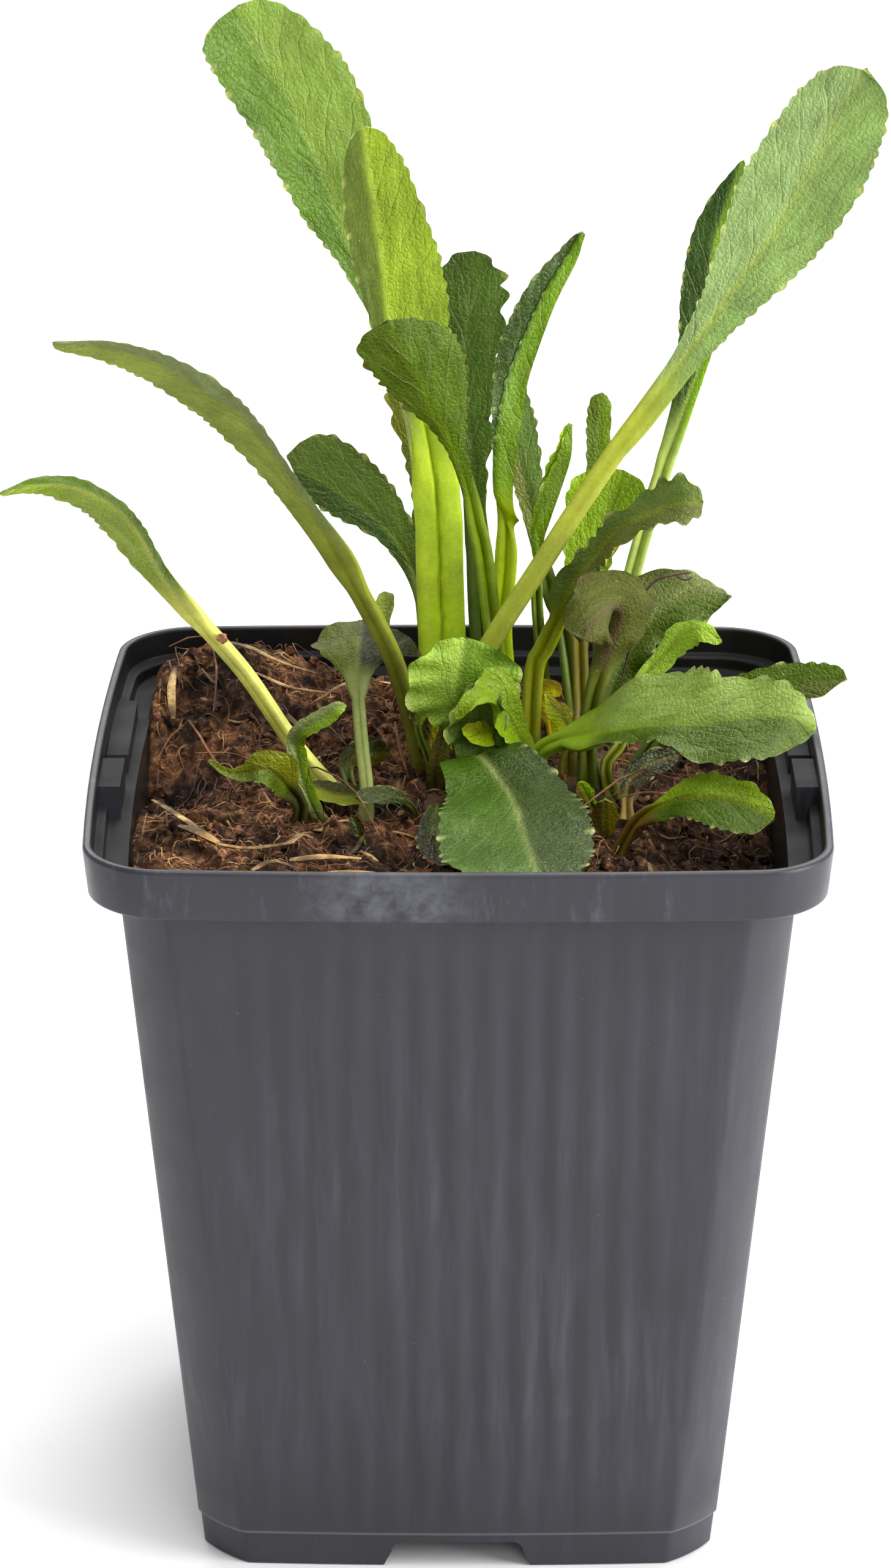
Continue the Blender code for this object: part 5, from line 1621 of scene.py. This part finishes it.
def strew_crumbs(name, count, largest, seed, material):
    """Lays lumpy balls of many sizes on the medium."""
    rng = np.random.default_rng(seed)
    mesh, ball = CRUMB
    made = []
    for _ in range(count):
        place = resting(
            rng.uniform(-STREWN_HALF, STREWN_HALF), rng.uniform(-STREWN_HALF, STREWN_HALF)
        )
        size = largest * rng.uniform(0.25, 1.0) ** 1.6
        axes, _ = np.linalg.qr(rng.normal(size=(3, 3)))
        stretch = np.array([1.0, rng.uniform(0.55, 0.9), rng.uniform(0.4, 0.75)]) * size / 2
        rough = 1 + 0.35 * np.sin(ball @ rng.normal(0, 3, 3))
        rough = rough + 0.25 * np.sin(ball @ rng.normal(0, 6, 3))
        lumpy = (ball * rough[:, None] * stretch) @ axes
        made.append(copied("crumb", mesh, lumpy + np.array(place) + np.array([0, 0, 0.1 * size])))
    finish_loose(join_all(made, name), material)


strew_crumbs("crumbs_dark", 520, 2.6, 23, medium.material)
strew_crumbs("crumbs_rust", 300, 1.5, 29, fibre_copper)

# %% Straw and bark chips
LOOSE_CHIPS = 60
# line, width and thickness of each chip that lies where it can be seen
CHIPS = [
    (
        [(-37.2, -10.4, 93.6), (-34.5, -15, 93.8), (-31.6, -19.6, 93.6), (-28.8, -23.6, 92.4)],
        1.4, 0.5,
    ),
    ([(-29.5, -22.6, 92.8), (-25, -25.4, 93.2), (-19.6, -24.4, 93.6)], 0.9, 0.4),
    ([(-20, -27.5, 92.6), (-16, -28.6, 93.4), (-11.6, -27.6, 92.8)], 1.9, 0.4),
    ([(-17.5, -31.8, 92.4), (-13, -32.4, 92.9), (-8, -31.6, 92.2)], 1.6, 0.4),
    ([(-24.5, -31, 92.6), (-22, -29.5, 93.2), (-19.5, -30, 92.6)], 0.9, 0.4),
    ([(-31.5, 33.5, 99), (-27.5, 30.8, 99.4), (-23, 29.5, 97.6), (-18.5, 29.8, 96)], 0.9, 0.4),
    ([(-26, 26.5, 97.2), (-21.5, 23.5, 96.2), (-17, 24, 95.4)], 0.7, 0.4),
    ([(-19, 22.2, 94.4), (-15.4, 25.5, 95.6), (-13.6, 28.6, 95.4)], 0.6, 0.3),
    ([(-22.5, -2.5, 91.8), (-19.5, 3.2, 92.6), (-17.4, 7.6, 92.6)], 0.7, 0.5),
    ([(-36.5, 27, 97.6), (-36.8, 24, 95.8), (-36.4, 20.5, 93)], 1.1, 0.6),
    ([(24.5, -2.8, 91.5), (28.5, -1.6, 91.8), (32, -2.2, 90.5)], 0.6, 0.3),
    ([(27.5, -33.5, 89.5), (28.2, -34, 92.2), (28.6, -34.6, 94)], 0.6, 0.6),
    ([(11.5, -30.5, 92), (15.5, -32.4, 92.6), (19.5, -31.2, 91.6)], 1.0, 0.7),
    ([(-3.5, 27.5, 92.5), (0.5, 30, 93), (4.5, 29.5, 92.4)], 0.7, 0.4),
    ([(22, 28.5, 91.6), (26, 31, 92.4), (30, 30, 91.6)], 0.8, 0.4),
    ([(-13.5, -34.6, 92.2), (-10.5, -35.2, 92.9), (-7, -34.6, 92.4)], 2.6, 0.4),
    ([(-9.5, -33.4, 92.4), (-6.5, -34.4, 92.9), (-4.4, -34, 92.2)], 1.8, 0.4),
    ([(-20.6, -24.4, 93.2), (-18.8, -22.4, 93.8), (-17.4, -22.2, 93.2)], 1.8, 0.4),
    ([(-33.4, -18.6, 93.4), (-31.2, -21.6, 93.8), (-28.8, -23.4, 93.2)], 2.0, 0.8),
]
rng = np.random.default_rng(41)
chips = [
    bent_copy("chip", CHIP, line, width, thickness, 0.45, rng.uniform(-0.4, 0.4))
    for line, width, thickness in CHIPS
]
for _ in range(LOOSE_CHIPS):
    x, y = rng.uniform(-36, 36), rng.uniform(-36, 36)
    heading, length = rng.uniform(0, 2 * math.pi), rng.uniform(1.8, 5.5)
    step_x, step_y = length * math.cos(heading), length * math.sin(heading)
    line = [resting(x + s * step_x, y + s * step_y, 0.3) for s in (0, 0.5, 1)]
    width, thickness, roll = rng.uniform(0.3, 1.0), rng.uniform(0.2, 0.4), rng.uniform(-0.6, 0.6)
    chips.append(bent_copy("chip", CHIP, line, width, thickness, 0.5, roll))
finish_loose(join_all(chips, "straw_and_bark"), fibre_pale)

# %% Long roots
# line and width of each root that stands out of the medium
LONG_ROOTS = [
    (
        [(-37.5, 33, 98.5), (-33, 32, 100.6), (-31.4, 29, 98.5), (-31, 24, 97), (-31.2, 19, 94.5)],
        0.3,
    ),
    ([(-38, 9, 91.5), (-34.5, 12, 96), (-31, 4, 94.5), (-27, -6, 92.6)], 0.3),
    ([(-33, 8, 93), (-28, 6, 93.6), (-24, 3.5, 92.6)], 0.28),
    ([(-26, -8, 93.2), (-19, -8.5, 97.4), (-13, -13, 96.4), (-9.5, -19, 92.4)], 0.22),
    ([(14.5, -11, 92.5), (22, -8.6, 97), (28, -9.4, 95.6), (35, -8.2, 97.2)], 0.3),
    ([(20, -7.5, 93), (24, -8.5, 94), (28, -11.5, 93)], 0.26),
    ([(-12, 34, 96), (-8.6, 35.5, 99.4), (-7.5, 36.6, 98)], 0.2),
    ([(9, 33, 95), (13, 34.5, 98.6), (14.6, 33.6, 95)], 0.22),
    ([(-20, 14, 93), (-17, 12, 95.6), (-14, 9.5, 93.5)], 0.24),
]
roots = [bent_copy("root", THREAD, line, width, width) for line, width in LONG_ROOTS]
finish_loose(join_all(roots, "roots_long"), fibre_copper)

# %% [markdown]
# ## Crown
#
# The leaves of each shoot come out of a short woody stump wrapped in old leaf bases. Little of it
# shows, so three flattened balls with lengthwise ridges, joined into one, are enough.

# %% The crown
# x, y, half width and half depth of each shoot's stump
STUMPS = ((-3.4, 5.2, 5.4, 7.0), (2, 22, 9, 13), (15.8, 15.5, 8.4, 21))
STUMP_HALF_HEIGHT = 3.2
STUMP_MIDDLE = CROWN_TOP - 2.9

bark = fibre_material("crown_bark", [(60, 40, 24), (104, 74, 40), (132, 112, 56)], 0.75)
stumps = []
for shoot_x, shoot_y, half_x, half_y in STUMPS:
    deselect_all()
    bpy.ops.mesh.primitive_uv_sphere_add(segments=64, ring_count=24, radius=1)
    stump = bpy.context.object
    ball = np.array([vertex.co[:] for vertex in stump.data.vertices])
    angle = np.arctan2(ball[:, 1], ball[:, 0])
    ridge = 1 + 0.05 * np.sin(17 * angle) * (1 - ball[:, 2] ** 2)
    place = ball * np.array([half_x * 0.93, half_y * 0.93, STUMP_HALF_HEIGHT]) * ridge[:, None]
    place_points(stump, place + np.array([shoot_x, shoot_y, STUMP_MIDDLE]))
    stumps.append(stump)
crown = join_all(stumps, "crown_stumps")
smooth(crown, 60)
finish_piece(crown, bark, "crown")

# %% [markdown]
# ## Dead and caught pieces
#
# A withered strand lies over the dark leaf at the right. A papery and an olive sheath of old leaves
# still clasp the foot of the middle shoot, a crinkled lobe fills the space below the bright leaf,
# and a crumb and a hair root have been caught by leaves on the left and on the right.

# %% Dead strand
STRAND = [
    (20.6, 17, 99), (21.6, 17.6, 103), (22.4, 18, 107), (23.2, 18.2, 110.4), (25, 18, 112.6),
    (27.6, 18, 113.4), (29.4, 18, 113.6),
]
STRAND_END = [(27.2, 18, 113.3), (28.6, 17.6, 112.8), (29.6, 17.4, 113.2)]
strand_dark = fibre_material("strand_dark", [(44, 28, 24), (74, 50, 40), (96, 70, 52)], 0.7)
strand = [
    bent_copy("strand", THREAD, line, width, thickness, taper)
    for line, width, thickness, taper in (
        (STRAND[:4], 0.42, 0.34, 0.3), (STRAND[3:], 0.5, 0.4, 0.5), (STRAND_END, 0.9, 0.3, 0.7)
    )
]
finish_loose(join_all(strand, "dead_strand"), strand_dark)

# %% Sheaths and a crinkled lobe
PAPERY = [(-6.2, 6, 90.5), (-7.2, 6.5, 94), (-7.9, 7, 97.5)]
finish_loose(bent_copy("sheath_papery", CHIP, PAPERY, 1.6, 0.22), fibre_copper)
leaf(
    "sheath_olive_big", "leaf_olive", (-2.9, 4),
    [(-2.5, 4, 93), (-1.9, 4.8, 96), (-1.4, 6, 98.4)],
    left=(1.4, 1.6, 1.6, 1.5, 1.3, 1, 0.8, 0.5), start=0.2, fold=(35, 35),
    tint_and_shade=((96, 88, 30), (84, 84, 24)), stem=(96, 84, 36), teeth=0, extra=True,
)
leaf(
    "lobe_crinkled", "leaf_green", (2.2, 3),
    [(2.5, 2.5, 96.3), (2.8, 1.5, 99.7), (3.1, 0.4, 103), (3, -0.5, 105.8)],
    left=(1.6, 3.2, 4.8, 5.2, 5, 4.6, 3.6, 2.2), right=(1.4, 2.4, 3.4, 3.8, 3.8, 3.4, 2.6, 1.6),
    start=0.3, stalk=1.8, fold=(20, 15), tint_and_shade=((122, 152, 60), (94, 126, 40)), stem=(116, 138, 48),
    wave=1.1, waves=4.2, curl=(30, 25), thick=0.3, teeth=0.9, extra=True,
)

# %% A caught crumb and one long hair root
CAUGHT_PLACE = (-28.7, -5.2, 112.8)
CAUGHT_SIZE = 0.62
HAIR = [
    (18.6, -9, 93.6), (21.5, -9.5, 95.6), (24.8, -8, 96.4), (29.5, -8.6, 96.2), (35.4, -8, 97.2),
]

mesh, ball = CRUMB
lumpy = ball * (1 + 0.3 * np.sin(ball @ np.array([4.0, 3.0, 5.0])))[:, None] * CAUGHT_SIZE
finish_loose(copied("crumb_caught", mesh, lumpy + np.array(CAUGHT_PLACE)), fibre_copper)
finish_loose(bent_copy("hair_root", THREAD, HAIR, 0.2, 0.2, 0.6), fibre_copper)

# %% [markdown]
# ## Finish
#
